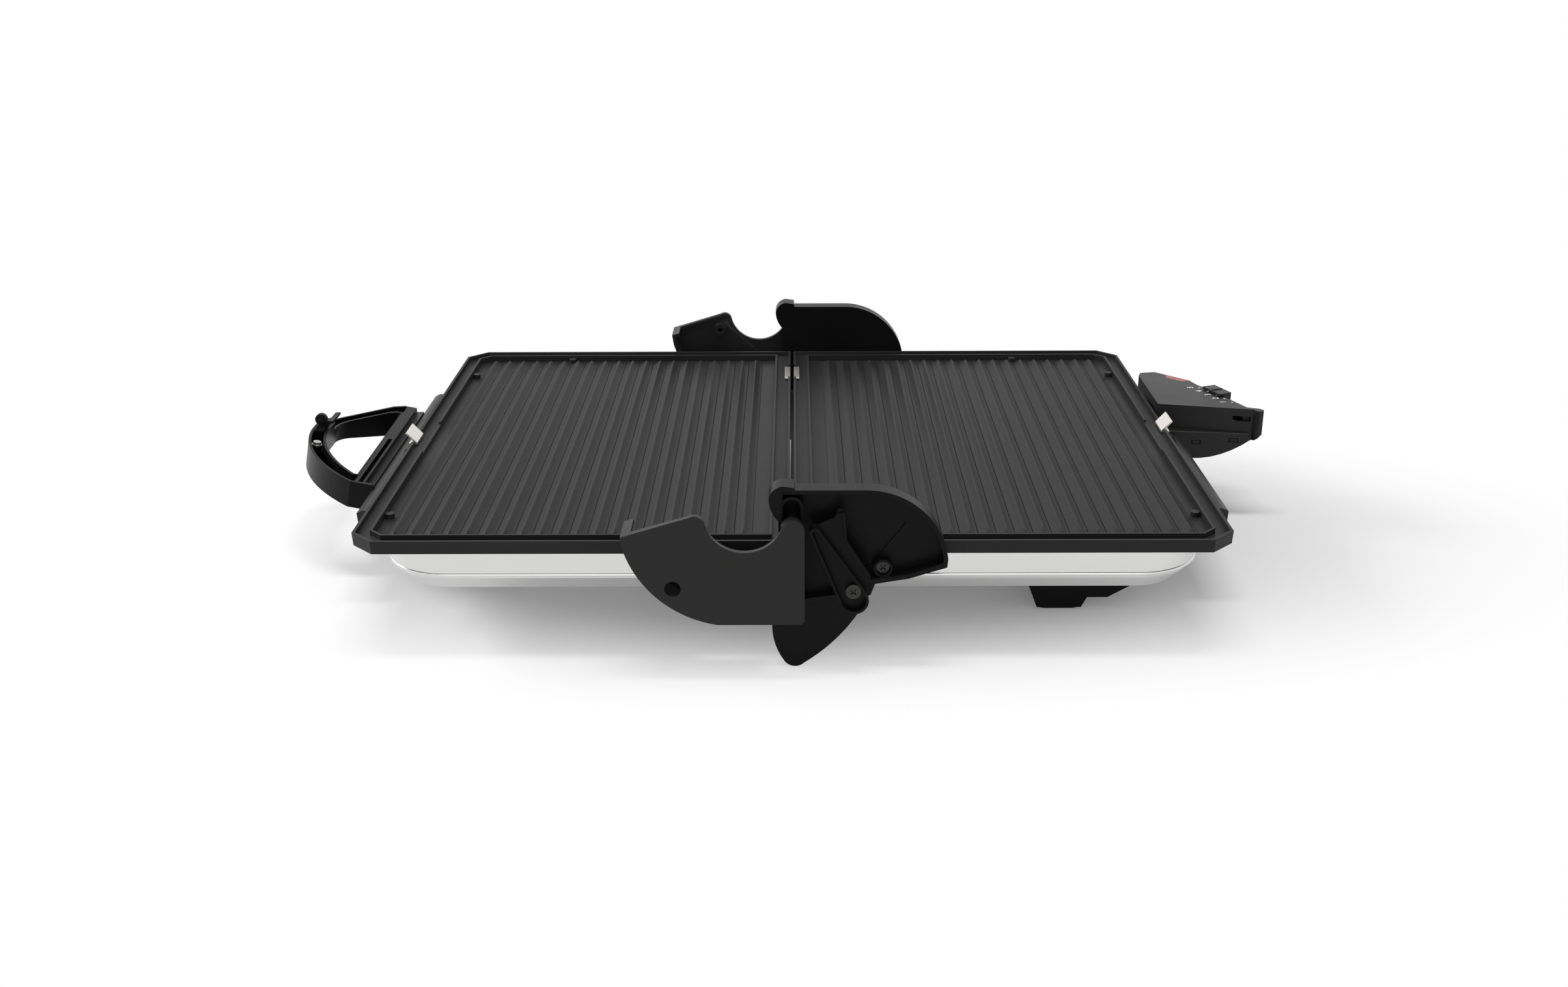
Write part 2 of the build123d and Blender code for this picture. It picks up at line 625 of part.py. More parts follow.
# Hinge release lever: a web with a finger tab, and on it a V-shaped trough round the pivot
with BuildPart() as hinge_release_lever:
    with BuildSketch(side(LEVER_IN)):
        with BuildLine():
            Polyline(*up([(37.8, -24.2), (38.8, -12.7), (26.9, 6), (25.7, 20.9)]))
            ThreePointArc(*up([(25.7, 20.9), (23.8, 22.6), (22.1, 20.3)]))
            Polyline(*up([(22.1, 20.3), (20.8, 17.8), (12, 13.8)]))
            ThreePointArc(*up([(12, 13.8), (9.2, 13.2), (8.5, 11.1)]))
            Line(*up([(8.5, 11.1), (23.6, -27)]))
            ThreePointArc(*up([(23.6, -27), (30.8, -31.9), (37.8, -24.2)]))
        make_face()
    extrude(amount=LEVER_WEB)
    # Walls of the trough
    with BuildSketch(side(LEVER_IN)):
        with BuildLine():
            Line(*up([(8.5, 11.1), (23.6, -27)]))
            ThreePointArc(*up([(23.6, -27), (30.8, -31.9), (37.8, -24.2)]))
            Polyline(*up([(37.8, -24.2), (36.2, -19.8), (13.6, 12.2)]))
            ThreePointArc(*up([(13.6, 12.2), (10.2, 13.6), (8.5, 11.1)]))
        make_face()
        with BuildLine():
            Line(*up([(9.9, 11), (24.7, -26.4)]))
            ThreePointArc(*up([(24.7, -26.4), (30.8, -30.6), (36.5, -24.2)]))
            Polyline(*up([(36.5, -24.2), (35, -20.2), (12.8, 11.2)]))
            ThreePointArc(*up([(12.8, 11.2), (11.2, 12.3), (9.9, 11)]))
        make_face(mode=Mode.SUBTRACT)
    extrude(amount=LEVER_OUT - LEVER_IN)
    # Rib along the free edge of the web
    with BuildSketch(side(LEVER_IN)):
        Polygon(
            *up([(22.1, 20.3), (25.7, 20.9), (26.9, 6), (38.8, -12.7), (37.4, -13), (25.6, 5.6), (24.5, 19)]),
            align=None,
        )
    extrude(amount=3.2)
    with BuildSketch(side(LEVER_IN)):
        with Locations((PIVOT[0], RIM + PIVOT[1])):
            Circle(PIVOT_R + PIN_FIT)
    extrude(amount=LEVER_WEB, mode=Mode.SUBTRACT)
save(hinge_release_lever, "hinge_release_lever")

LEVER_HEAD = LEVER_IN + LEVER_WEB + FIT_GAP
with BuildPart() as lever_screw:
    with BuildSketch(side(LEVER_HEAD)):
        with Locations((PIVOT[0], RIM + PIVOT[1])):
            Circle(3.8)
    extrude(amount=2.0)
    for turn in (45, 135):
        with BuildSketch(side(LEVER_HEAD + 2.0)):
            with Locations((PIVOT[0], RIM + PIVOT[1])):
                Rectangle(3.6, 0.9, rotation=turn)
        extrude(amount=-1.2, mode=Mode.SUBTRACT)
save(lever_screw, "lever_screw")

# Handle: an end bar and a D strap, both channels open on the side that faces up when the grill lies open
GRIP = Plane(
    origin=(-GRIP_X, 0, RIM - GRIP_TOP),
    x_dir=(-1, 0, GRIP_SLOPE),
    z_dir=(GRIP_SLOPE, 0, 1),
)


def grip(*points):
    """Handle outline points (distance out, towards the back) in the tilted plane of the strap."""
    return [(u, -v) for u, v in points]


def grip_outer():
    """Outer edge of the handle."""
    ThreePointArc(*grip((2, -68.5), (31.5, -37), (42, 0)))
    Line(*grip((42, 0), (42, 24)))
    ThreePointArc(*grip((42, 24), (40, 34.6), (33, 43)))
    Polyline(*grip((33, 43), (2, 68), (-12, 68), (-12, -68.5), (2, -68.5)))


def grip_inner():
    """Edge of the hand opening."""
    ThreePointArc(*grip((3, -56), (23.5, -30), (32.6, 0)))
    Line(*grip((32.6, 0), (32.8, 20)))
    ThreePointArc(*grip((32.8, 20), (31.4, 28.6), (26, 35.5)))
    Polyline(*grip((26, 35.5), (3, 54), (1, 54), (1, -56), (3, -56)))


CATCH_SCREW = (34.4, 16)
with BuildPart() as lid_handle:
    with BuildSketch(GRIP):
        with BuildLine():
            grip_outer()
        make_face()
    extrude(amount=-GRIP_TALL)
    with BuildSketch(GRIP):
        with BuildLine():
            grip_inner()
        make_face()
    extrude(amount=-GRIP_TALL - 4, mode=Mode.SUBTRACT)
    # Channel of the strap
    with BuildSketch(GRIP):
        with BuildLine():
            grip_outer()
        make_face()
        offset(amount=-GRIP_WALL)
        with BuildSketch(mode=Mode.SUBTRACT):
            with BuildLine():
                grip_inner()
            make_face()
            offset(amount=GRIP_WALL)
        with Locations((-6, 0)):
            Rectangle(12, 160, mode=Mode.SUBTRACT)
    extrude(amount=2 - GRIP_TALL, mode=Mode.SUBTRACT)
    # Post of the catch screw
    with BuildSketch(GRIP.offset(-3.5)):
        with Locations(CATCH_SCREW):
            Circle(2.9)
            Circle(1.5, mode=Mode.SUBTRACT)
    extrude(amount=4.5 - GRIP_TALL)
    # Behind the catch the strap is lower, so that it passes over the control housing when the grill is shut
    with BuildSketch(Plane.XY.offset(RIM - LOW_TOP)):
        with Locations((-GRIP_X - 30, LOW_BEHIND + 40)):
            Rectangle(100, 80)
    extrude(amount=20, mode=Mode.SUBTRACT)
    # Trim the end bar square to the trim strip of the lid, step its inner side and cut its narrow channel
    with BuildSketch(Plane.XY.offset(RIM + 20)):
        with Locations((20 - TRIM_OUT, 0)):
            Rectangle(40, 200)
    extrude(amount=-80, mode=Mode.SUBTRACT)
    with BuildSketch(Plane.XY.offset(RIM - 10)):
        with Locations((-TRIM_OUT - 2, 4)):
            Rectangle(4.6, 140)
    extrude(amount=10, mode=Mode.SUBTRACT)
    with BuildSketch(Plane.XY.offset(RIM - 15)):
        with Locations((-TRIM_OUT - 6.8, -30)):
            Rectangle(2.3, 73)
    extrude(amount=15, mode=Mode.SUBTRACT)
    with BuildSketch(Plane.YZ.offset(-TRIM_OUT - 9)):
        with Locations(*[(y, RIM - HANDLE_SCREW_DEPTH) for y in HANDLE_SCREWS]):
            Circle(1.6)
    extrude(amount=20, mode=Mode.SUBTRACT)
save(lid_handle, "lid_handle")

with BuildPart() as handle_screws:
    with BuildSketch(Plane.YZ.offset(1.2 - TRIM_OUT)):
        with Locations(*[(y, RIM - HANDLE_SCREW_DEPTH) for y in HANDLE_SCREWS]):
            Circle(1.6)
    extrude(amount=-9)
    with BuildSketch(Plane.YZ.offset(2.6 - TRIM_OUT)):
        with Locations(*[(y, RIM - HANDLE_SCREW_DEPTH) for y in HANDLE_SCREWS]):
            Circle(3.0)
    extrude(amount=1.6)
    with BuildSketch(Plane.YZ.offset(2.6 - TRIM_OUT)):
        with Locations(*[(y, RIM - HANDLE_SCREW_DEPTH) for y in HANDLE_SCREWS]):
            Circle(1.6)
    extrude(amount=-3)
save(handle_screws, "handle_screws")

# Control housing: an upper and a lower shell that meet at HOUSE_SPLIT
def beside(*points):
    """Housing points given from its inner face outwards, moved to their real place."""
    return [(HOUSE_X + x, y) for x, y in points]


HOUSE_PLAN = beside(
    (11.7, 101.8),
    (17.5, 95.9),
    (30.0, 83.1),
    (32.6, 74.1),
    (38.6, 61.9),
    (52.4, 27.0),
    (59.2, 24.5),
    (HOUSE_LONG, 22.0),
    (HOUSE_LONG - 0.6, 19.4),
    (58.2, 18.6),
    (56.4, 19.4),
    (55.4, 22.7),
    (54.3, 22.9),
    (0, 34.4),
)
HOUSE_BACK = beside((0, 94), (2.2, 100))
HOUSE_INSIDE = beside((11, 99.4), (16.2, 94.3), (28.2, 82.1), (30.7, 73.3), (36.8, 61.1), (50.4, 26.1), (2, 36.2))
HOUSE_INSIDE_BACK = beside((2, 93.5), (3.5, 98.3))
LENS = beside((17.5, 95.9), (30.0, 83.1), (25.6, 80.9), (16.7, 89.0))
HOUSE_SCREWS = beside((7.2, 42), (7.2, 91))
HOUSE_SCREW_R = 1.3
LAMP = (HOUSE_X + 19.2, 86.0)
RULE = Plane(origin=(*HOUSE_PLAN[4], RIM), x_dir=(13.8, -34.9, 0), z_dir=(0, 0, 1))
POINTER = 4.5
KNOB_LONG = 18.0
KNOB_TALL = 2.3
STEM = 5.0
TO_FIVE = 7.5
TO_ONE = 22.0
with BuildPart() as control_housing_upper:
    with BuildSketch(Plane.XY.offset(RIM + HOUSE_TOP)):
        Polygon(*HOUSE_PLAN, *HOUSE_BACK, align=None)
    extrude(amount=-HOUSE_TOP - HOUSE_SPLIT)
    with BuildSketch(Plane.XY.offset(RIM - HOUSE_SPLIT)):
        Polygon(*HOUSE_INSIDE, *HOUSE_INSIDE_BACK, align=None)
    extrude(amount=HOUSE_TOP + HOUSE_SPLIT - HOUSE_WALL, mode=Mode.SUBTRACT)
    # Slot the stem of the temperature slider runs in
    with BuildSketch(RULE.offset(2)):
        with Locations((POINTER + (TO_ONE - TO_FIVE) / 2, -1.5)):
            Rectangle(TO_ONE + TO_FIVE + STEM + 1, 5)
    extrude(amount=-4, mode=Mode.SUBTRACT)
    # Slot that takes the tongue of the handle catch
    with BuildSketch(Plane.XY.offset(RIM)):
        Polygon(*beside((43.8, 21.5), (54.2, 21.5), (54.2, 25.7), (43.8, 28.0)), align=None)
    extrude(amount=-3.2, mode=Mode.SUBTRACT)
    with BuildSketch(Plane.XY.offset(RIM + HOUSE_TOP)):
        Polygon(*LENS, align=None)
    extrude(amount=-6, mode=Mode.SUBTRACT)
    with BuildSketch(Plane.XY.offset(RIM - HOUSE_SPLIT)):
        with Locations(*HOUSE_SCREWS):
            Circle(3.2)
        with Locations(*HOUSE_SCREWS):
            Circle(HOUSE_SCREW_R, mode=Mode.SUBTRACT)
    extrude(amount=HOUSE_TOP + HOUSE_SPLIT - HOUSE_WALL)
save(control_housing_upper, "control_housing_upper")


def belly(inset):
    """Side view of the lower shell with its curved bottom, drawn inset from its outer face."""
    tip = HOUSE_X + HOUSE_LONG - inset * 1.7
    with BuildSketch(side(-110)) as face:
        with BuildLine():
            ThreePointArc(
                *up([(HOUSE_X + 20, inset - 27.8), (tip - 14.7, inset * 0.6 - 20.3), (tip, -HOUSE_SPLIT)])
            )
            Polyline(
                *up([(tip, -HOUSE_SPLIT), (200, -HOUSE_SPLIT), (200, inset - 25), (HOUSE_X + 20, inset - 27.8)])
            )
        make_face()
    return face.sketch


with BuildPart() as house_core:
    with BuildSketch(Plane.XY.offset(RIM - HOUSE_SPLIT)):
        Polygon(*HOUSE_INSIDE, *beside((2, 40), (-17, 40), (-17, 88), (2, 88)), *HOUSE_INSIDE_BACK, align=None)
    extrude(amount=-22)
    extrude(belly(HOUSE_WALL), amount=110, mode=Mode.INTERSECT)

with BuildPart() as control_housing_lower:
    with BuildSketch(Plane.XY.offset(RIM - HOUSE_SPLIT)):
        Polygon(*HOUSE_PLAN, *beside((0, 38), (-23, 38), (-23, 90), (0, 90)), *HOUSE_BACK, align=None)
    extrude(amount=-22)
    extrude(belly(0), amount=110, mode=Mode.INTERSECT)
    add(house_core.part, mode=Mode.SUBTRACT)
    # Snap windows in the front face
    with Locations(*[(x, y, RIM - 17) for x, y in beside((23.2, 29.0), (45.8, 24.2))]):
        Box(5.6, 2.4, 2.2, rotation=(0, 0, -12), mode=Mode.SUBTRACT)
    # Posts for the screws, the lamp and the thermostat
    with BuildSketch(Plane.XY.offset(RIM - HOUSE_SPLIT)):
        with Locations(*HOUSE_SCREWS):
            Circle(3.4)
    extrude(amount=-16.5)
    with BuildSketch(Plane.XY.offset(RIM - HOUSE_SPLIT)):
        with Locations(LAMP):
            Circle(2.6)
    extrude(amount=-17)
    with BuildSketch(Plane.XY.offset(RIM - 20)):
        with Locations(*beside((16.2, 47), (16.2, 65))):
            Circle(3.0)
    extrude(amount=-7)
    with BuildSketch(Plane.XY.offset(RIM - HOUSE_SPLIT)):
        with Locations(*HOUSE_SCREWS):
            Circle(HOUSE_SCREW_R + 0.2)
    extrude(amount=-20, mode=Mode.SUBTRACT)
    with BuildSketch(Plane.XY.offset(RIM - 29)):
        with Locations(*HOUSE_SCREWS):
            Circle(2.7)
    extrude(amount=8, mode=Mode.SUBTRACT)
    add(cover_form.part, mode=Mode.SUBTRACT)
save(control_housing_lower, "control_housing_lower")

with BuildPart() as control_housing_screws:
    with BuildSketch(Plane.XY.offset(RIM - 21)):
        with Locations(*HOUSE_SCREWS):
            Circle(2.5)
    extrude(amount=-2)
    with BuildSketch(Plane.XY.offset(RIM - 21)):
        with Locations(*HOUSE_SCREWS):
            Circle(HOUSE_SCREW_R)
    extrude(amount=20)
save(control_housing_screws, "control_housing_screws")

with BuildPart() as indicator_lens:
    with BuildSketch(Plane.XY.offset(RIM + HOUSE_TOP)):
        Polygon(*LENS, align=None)
    extrude(amount=-6)
save(indicator_lens, "indicator_lens")

with BuildPart() as indicator_lamp:
    with BuildSketch(Plane.XY.offset(RIM - HOUSE_SPLIT)):
        with Locations(LAMP):
            RegularPolygon(2.4, 8)
    extrude(amount=7.5)
save(indicator_lamp, "indicator_lamp")

with BuildPart() as temperature_slider:
    with BuildSketch(RULE.offset(-2.5)):
        with Locations((POINTER, 3.1)):
            Rectangle(KNOB_LONG, 5.4)
    extrude(amount=2.5 + HOUSE_TOP + KNOB_TALL - 0.6)
    with BuildSketch(RULE.offset(HOUSE_TOP + FIT_GAP)):
        with Locations((POINTER, 1.4)):
            Rectangle(KNOB_LONG, 8.8)
    extrude(amount=KNOB_TALL - FIT_GAP - 0.6)
    with BuildSketch(RULE.offset(HOUSE_TOP + KNOB_TALL - 0.6)):
        with Locations((POINTER, 1.4)):
            Rectangle(1.6, 7)
    extrude(amount=0.6)
    with BuildSketch(RULE.offset(-1.5)):
        with Locations((POINTER, -3)):
            Rectangle(STEM, 8)
    extrude(amount=3)
save(temperature_slider, "temperature_slider")

with BuildPart() as thermostat:
    with Locations((HOUSE_X + 17.2, 57, RIM - 16)):
        Box(12, 26, 8)
    with Locations((HOUSE_X + 17.2, 57, RIM - 10)):
        Cylinder(4.5, 4.0)
    with Locations((HOUSE_X + 17.2, 57, RIM - 6)):
        Cylinder(2.0, 5.0)
save(thermostat, "thermostat")

with BuildPart() as terminal_block:
    with Locations((165, 58, RIM - 28.2)):
        Box(30, 16, 8)
    with Locations((165, 58, RIM - 24.2)):
        with GridLocations(10, 0, 3, 1):
            Box(6, 10, 4, mode=Mode.SUBTRACT)
save(terminal_block, "terminal_block")

# Gland the mains cord comes in through, on the hidden long side
with BuildPart() as cord_gland:
    with BuildSketch(side(-COVER_HALF - 3)):
        with Locations((GLAND_X, RIM - GLAND_DEPTH)):
            Circle(7.0)
    extrude(amount=8)
    add(cover_form.part, mode=Mode.SUBTRACT)
    with BuildSketch(side(-COVER_HALF - 3)):
        with Locations((GLAND_X, RIM - GLAND_DEPTH)):
            Circle(4.0)
    extrude(amount=10)
    with BuildSketch(side(-COVER_HALF - 3)):
        with Locations((GLAND_X, RIM - GLAND_DEPTH)):
            Circle(2.6)
    extrude(amount=10, mode=Mode.SUBTRACT)
save(cord_gland, "cord_gland")

# Handle catch: a sliding block in the strap with four pips, a raised thumb disc and the tongue beside it
with BuildPart() as handle_catch:
    with BuildSketch(GRIP.offset(0.6)):
        with Locations((37.4, -3)):
            Rectangle(5.2, 12)
    extrude(amount=-11)
    with BuildSketch(GRIP.offset(0.6)):
        with Locations((37.4, 0)):
            with GridLocations(2.6, 2.6, 2, 2):
                Circle(0.8)
    extrude(amount=0.4)
    with BuildSketch(side(-10)):
        with Locations((-281.5, RIM + 5.1)):
            Circle(3.5)
        with Locations((-281.5, RIM + 1.5)):
            Rectangle(2.8, 3)
    extrude(amount=3)
    # Tongue: a neck from the block over the inner wall of the strap, and a blade towards the housing
    with BuildSketch(Plane.XY.offset(RIM + 1.5)):
        Polygon((-280.5, 5), (-280.5, 8.8), (-276.6, 8.8), (-276.6, 5), align=None)
    extrude(amount=3.4)
    with BuildSketch(Plane.XY.offset(RIM + 3.5)):
        Polygon((-280, 5), (-280, 8.8), (-276.6, 12), (-276.6, 21.9), (-273.8, 22.5), (-273.8, 5), align=None)
    extrude(amount=1.4)
save(handle_catch, "handle_catch")

with BuildPart() as handle_catch_screw:
    with BuildSketch(GRIP.offset(-3.5)):
        with Locations(CATCH_SCREW):
            Circle(2.9)
    extrude(amount=0.8)
    with BuildSketch(GRIP.offset(-2.7)):
        with Locations(CATCH_SCREW):
            Circle(2.3)
    extrude(amount=1.6)
    with BuildSketch(GRIP.offset(-3.5)):
        with Locations(CATCH_SCREW):
            Circle(1.5)
    extrude(amount=-8)
save(handle_catch_screw, "handle_catch_screw")

# Feet under the outer end of the base
with BuildPart() as foot_front:
    with BuildSketch(side(FOOT_FACE - FOOT_DEEP)):
        Polygon(
            *up([(124, -33), (127.4, -50), (133, -64.5), (157, -64.5), (160, -58.6), (171, -58.6), (186, -50), (188, -33)]),
            align=None,
        )
    extrude(amount=FOOT_DEEP)
    # Vent ribs on the slanted side
    with BuildSketch(side(FOOT_FACE - FOOT_DEEP)):
        with Locations(*[(124 + 1.7 * i, RIM - 38.5 - 4 * i) for i in range(6)]):
            Rectangle(3.4, 1.6)
    extrude(amount=FOOT_DEEP - 3, mode=Mode.SUBTRACT)
    with BuildSketch(Plane.XY.offset(RIM - COVER_BOTTOM)):
        with Locations(FOOT_SCREW):
            Rectangle(48, FOOT_DEEP - 5)
            Circle(5, mode=Mode.SUBTRACT)
    extrude(amount=-20, mode=Mode.SUBTRACT)
    with BuildSketch(Plane.XY.offset(RIM - COVER_BOTTOM)):
        with Locations(FOOT_SCREW):
            Circle(SCREW_R)
    extrude(amount=-16, mode=Mode.SUBTRACT)
save(foot_front, "foot_front")
foot_rear = flipped(foot_front, Plane.XZ)
save(foot_rear, "foot_rear")

with BuildPart() as foot_screw:
    with BuildSketch(Plane.XY.offset(RIM - COVER_BOTTOM + COVER_WALL)):
        with Locations(FOOT_SCREW):
            Circle(3.6)
    extrude(amount=2)
    with BuildSketch(Plane.XY.offset(RIM - COVER_BOTTOM + COVER_WALL)):
        with Locations(FOOT_SCREW):
            Circle(SCREW_R)
    extrude(amount=-15)
foot_screws = both_sides(foot_screw)
save(foot_screws, "foot_screws")

with BuildPart() as foot_pad:
    with BuildSketch(Plane.XY.offset(RIM - FOOT_BASE)):
        with Locations((145, FOOT_DEEP / 2 - FOOT_FACE)):
            RectangleRounded(22, FOOT_DEEP - 4, 4)
    extrude(amount=-RIM + FOOT_BASE)
foot_pads = both_sides(foot_pad)
save(foot_pads, "foot_pads")
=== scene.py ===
# %% [markdown]
# # A contact grill, opened flat
# The solids of the grill come from a CAD model that is already packed. This lesson dresses them: it rounds
# their edges, adds the fine shapes that a solid model leaves out, and gives every surface its finish.

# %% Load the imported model
import json
import math

import bmesh
import bpy
from mathutils import Matrix, Vector

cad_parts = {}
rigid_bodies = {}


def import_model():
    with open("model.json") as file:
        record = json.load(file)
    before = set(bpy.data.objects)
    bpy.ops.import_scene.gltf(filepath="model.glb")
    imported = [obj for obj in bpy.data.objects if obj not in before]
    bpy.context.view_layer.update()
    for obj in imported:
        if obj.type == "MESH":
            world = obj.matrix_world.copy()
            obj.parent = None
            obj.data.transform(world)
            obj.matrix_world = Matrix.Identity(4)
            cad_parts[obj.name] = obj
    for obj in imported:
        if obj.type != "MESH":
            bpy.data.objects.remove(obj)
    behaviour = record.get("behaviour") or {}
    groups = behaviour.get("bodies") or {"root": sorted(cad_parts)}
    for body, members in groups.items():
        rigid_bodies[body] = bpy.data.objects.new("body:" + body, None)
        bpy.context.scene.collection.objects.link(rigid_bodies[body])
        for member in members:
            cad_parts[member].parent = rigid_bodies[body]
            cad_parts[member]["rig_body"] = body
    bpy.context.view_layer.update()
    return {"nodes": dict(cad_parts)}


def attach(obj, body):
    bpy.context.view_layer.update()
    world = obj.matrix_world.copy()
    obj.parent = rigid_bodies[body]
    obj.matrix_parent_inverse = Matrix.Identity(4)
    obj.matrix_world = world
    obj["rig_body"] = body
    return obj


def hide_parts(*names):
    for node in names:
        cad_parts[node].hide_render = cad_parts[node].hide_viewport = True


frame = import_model()
MM = 0.001
RIM = 66.0
print("nodes:", len(frame["nodes"]))


def placed(name, data):
    """A new object for the data, linked to the scene."""
    thing = bpy.data.objects.new(name, data)
    bpy.context.scene.collection.objects.link(thing)
    return thing


def flattened(holder):
    """The evaluated mesh of a curve or text object, which is then removed."""
    bpy.context.view_layer.update()
    mesh = bpy.data.meshes.new_from_object(holder.evaluated_get(bpy.context.evaluated_depsgraph_get()))
    bpy.data.objects.remove(holder)
    return mesh


# %% [markdown]
# ## The camera
# The picture was taken from the front, a little above the table, looking down by 21 degrees. The place and
# turn of the camera were solved from the four outer corners of the two trays, so they are plain numbers here.

# %% Set the camera
CAMERA_PLACE = (0.0013, -0.9152, 0.3772)
CAMERA_TURN = (21.0, -0.39, -0.28)
SENSOR_WIDTH, FOCAL_PIXELS, PICTURE_PIXELS = 36.0, 2499, 2408
pitch, yaw, roll = (math.radians(angle) for angle in CAMERA_TURN)
look = Vector((math.sin(yaw) * math.cos(pitch), math.cos(yaw) * math.cos(pitch), -math.sin(pitch)))
right = Vector((math.cos(yaw), -math.sin(yaw), 0.0))
upward = right.cross(look)
turned_right = math.cos(roll) * right + math.sin(roll) * upward
turned_up = math.cos(roll) * upward - math.sin(roll) * right
lens = bpy.data.cameras.new("front_lens")
lens.lens = SENSOR_WIDTH * FOCAL_PIXELS / PICTURE_PIXELS
lens.sensor_width = SENSOR_WIDTH
lens.clip_start = 0.01
camera = placed("front_camera", lens)
camera.matrix_world = Matrix.Translation(CAMERA_PLACE) @ Matrix(
    (turned_right, turned_up, -look)
).transposed().to_4x4()
bpy.context.scene.camera = camera
bpy.context.scene.view_settings.view_transform = "Standard"
print("lens in mm:", round(lens.lens, 2))


# %% [markdown]
# ## Small helpers for node trees
# A material is a tree of nodes. Two short helpers keep the trees readable: one adds a node with its values,
# one joins two sockets.

# %% Node helpers
def add_node(tree, kind, **values):
    """Adds a node and sets its plain properties or its input values by name."""
    node = tree.nodes.new(kind)
    for name, value in values.items():
        socket = name.replace("_", " ")
        if hasattr(node, name):
            setattr(node, name, value)
        else:
            node.inputs[socket].default_value = value
    return node


def new_material(name, colour, metallic=0.0, roughness=0.5, specular=0.5):
    """A material with one Principled shader; returns it with its tree and shader."""
    material = bpy.data.materials.new(name)
    material.use_nodes = True
    shader = material.node_tree.nodes["Principled BSDF"]
    shader.inputs["Base Color"].default_value = (*colour, 1.0)
    shader.inputs["Metallic"].default_value = metallic
    shader.inputs["Roughness"].default_value = roughness
    shader.inputs["Specular IOR Level"].default_value = specular
    return material, material.node_tree, shader


# %% [markdown]
# ## Grain, an effect that several finishes share
# Moulded plastic and the non-stick coat both have a fine, even grain that scatters the light. One node group
# makes it: a fine noise bumps the surface, and a slow noise lets the gloss wander a little, as it does on
# real parts. Each material sets its own scale and strength.

# %% Build the grain group
grain_group = bpy.data.node_groups.new("surface_grain", "ShaderNodeTree")
for label, kind, start in (
    ("Grain Scale", "NodeSocketFloat", 2500.0),
    ("Grain Depth", "NodeSocketFloat", 0.1),
    ("Patch Scale", "NodeSocketFloat", 30.0),
    ("Rough Low", "NodeSocketFloat", 0.4),
    ("Rough High", "NodeSocketFloat", 0.5),
    ("Dark Colour", "NodeSocketColor", (0.02, 0.02, 0.02, 1.0)),
    ("Light Colour", "NodeSocketColor", (0.03, 0.03, 0.03, 1.0)),
):
    socket = grain_group.interface.new_socket(label, in_out="INPUT", socket_type=kind)
    socket.default_value = start
for label, kind in (
    ("Colour", "NodeSocketColor"),
    ("Roughness", "NodeSocketFloat"),
    ("Normal", "NodeSocketVector"),
):
    grain_group.interface.new_socket(label, in_out="OUTPUT", socket_type=kind)
given = grain_group.nodes.new("NodeGroupInput")
result = grain_group.nodes.new("NodeGroupOutput")
place = grain_group.nodes.new("ShaderNodeTexCoord")
fine = add_node(grain_group, "ShaderNodeTexNoise", Detail=2.0)
patch = add_node(grain_group, "ShaderNodeTexNoise", Detail=4.0)
bump = add_node(grain_group, "ShaderNodeBump", Distance=0.00005)
gloss = grain_group.nodes.new("ShaderNodeMapRange")
tint = add_node(grain_group, "ShaderNodeMix", data_type="RGBA")
joins = grain_group.links.new
joins(place.outputs["Object"], fine.inputs["Vector"])
joins(place.outputs["Object"], patch.inputs["Vector"])
joins(given.outputs["Grain Scale"], fine.inputs["Scale"])
joins(given.outputs["Patch Scale"], patch.inputs["Scale"])
joins(fine.outputs["Fac"], bump.inputs["Height"])
joins(given.outputs["Grain Depth"], bump.inputs["Strength"])
joins(patch.outputs["Fac"], gloss.inputs["Value"])
joins(given.outputs["Rough Low"], gloss.inputs["To Min"])
joins(given.outputs["Rough High"], gloss.inputs["To Max"])
joins(patch.outputs["Fac"], tint.inputs["Factor"])
joins(given.outputs["Dark Colour"], tint.inputs["A"])
joins(given.outputs["Light Colour"], tint.inputs["B"])
joins(tint.outputs["Result"], result.inputs["Colour"])
joins(gloss.outputs["Result"], result.inputs["Roughness"])
joins(bump.outputs["Normal"], result.inputs["Normal"])
print("grain group nodes:", len(grain_group.nodes))


# %% Materials with the grain
def grained(name, dark, light, scale, depth, rough, patches=30.0, metallic=0.0, specular=0.5):
    """A material whose colour, gloss and bump come from the grain group."""
    material, tree, shader = new_material(name, dark, metallic, specular=specular)
    group = tree.nodes.new("ShaderNodeGroup")
    group.node_tree = grain_group
    for label, value in (
        ("Grain Scale", scale),
        ("Grain Depth", depth),
        ("Patch Scale", patches),
        ("Rough Low", rough[0]),
        ("Rough High", rough[1]),
        ("Dark Colour", (*dark, 1.0)),
        ("Light Colour", (*light, 1.0)),
    ):
        group.inputs[label].default_value = value
    tree.links.new(group.outputs["Colour"], shader.inputs["Base Color"])
    tree.links.new(group.outputs["Roughness"], shader.inputs["Roughness"])
    tree.links.new(group.outputs["Normal"], shader.inputs["Normal"])
    return material


BLACK, BLACK_LIGHT = (0.0065, 0.0064, 0.0062), (0.0105, 0.0102, 0.0098)
# The darker black is the same moulded plastic, made darker and less reflective: painted shade and painted
# dark reflections for parts that lie in shade
SHADED_BLACK, SHADED_BLACK_LIGHT = (0.0035, 0.0034, 0.0033), (0.006, 0.0058, 0.0056)
COAT, COAT_LIGHT = (0.0155, 0.0155, 0.016), (0.0245, 0.0245, 0.0255)
black_plastic = grained("black_moulded_plastic", BLACK, BLACK_LIGHT, 2300, 0.6, (0.34, 0.48), specular=0.27)
shaded_black_plastic = grained("black_plastic_painted_shade", SHADED_BLACK, SHADED_BLACK_LIGHT, 2100, 0.25, (0.28, 0.4), specular=0.09)
gloss_plastic = grained("black_smooth_plastic", BLACK, BLACK_LIGHT, 1800, 0.12, (0.24, 0.34), specular=0.3)
nonstick = grained("nonstick_coat", COAT, COAT_LIGHT, 1500, 0.7, (0.42, 0.55), 22.0, specular=0.12)
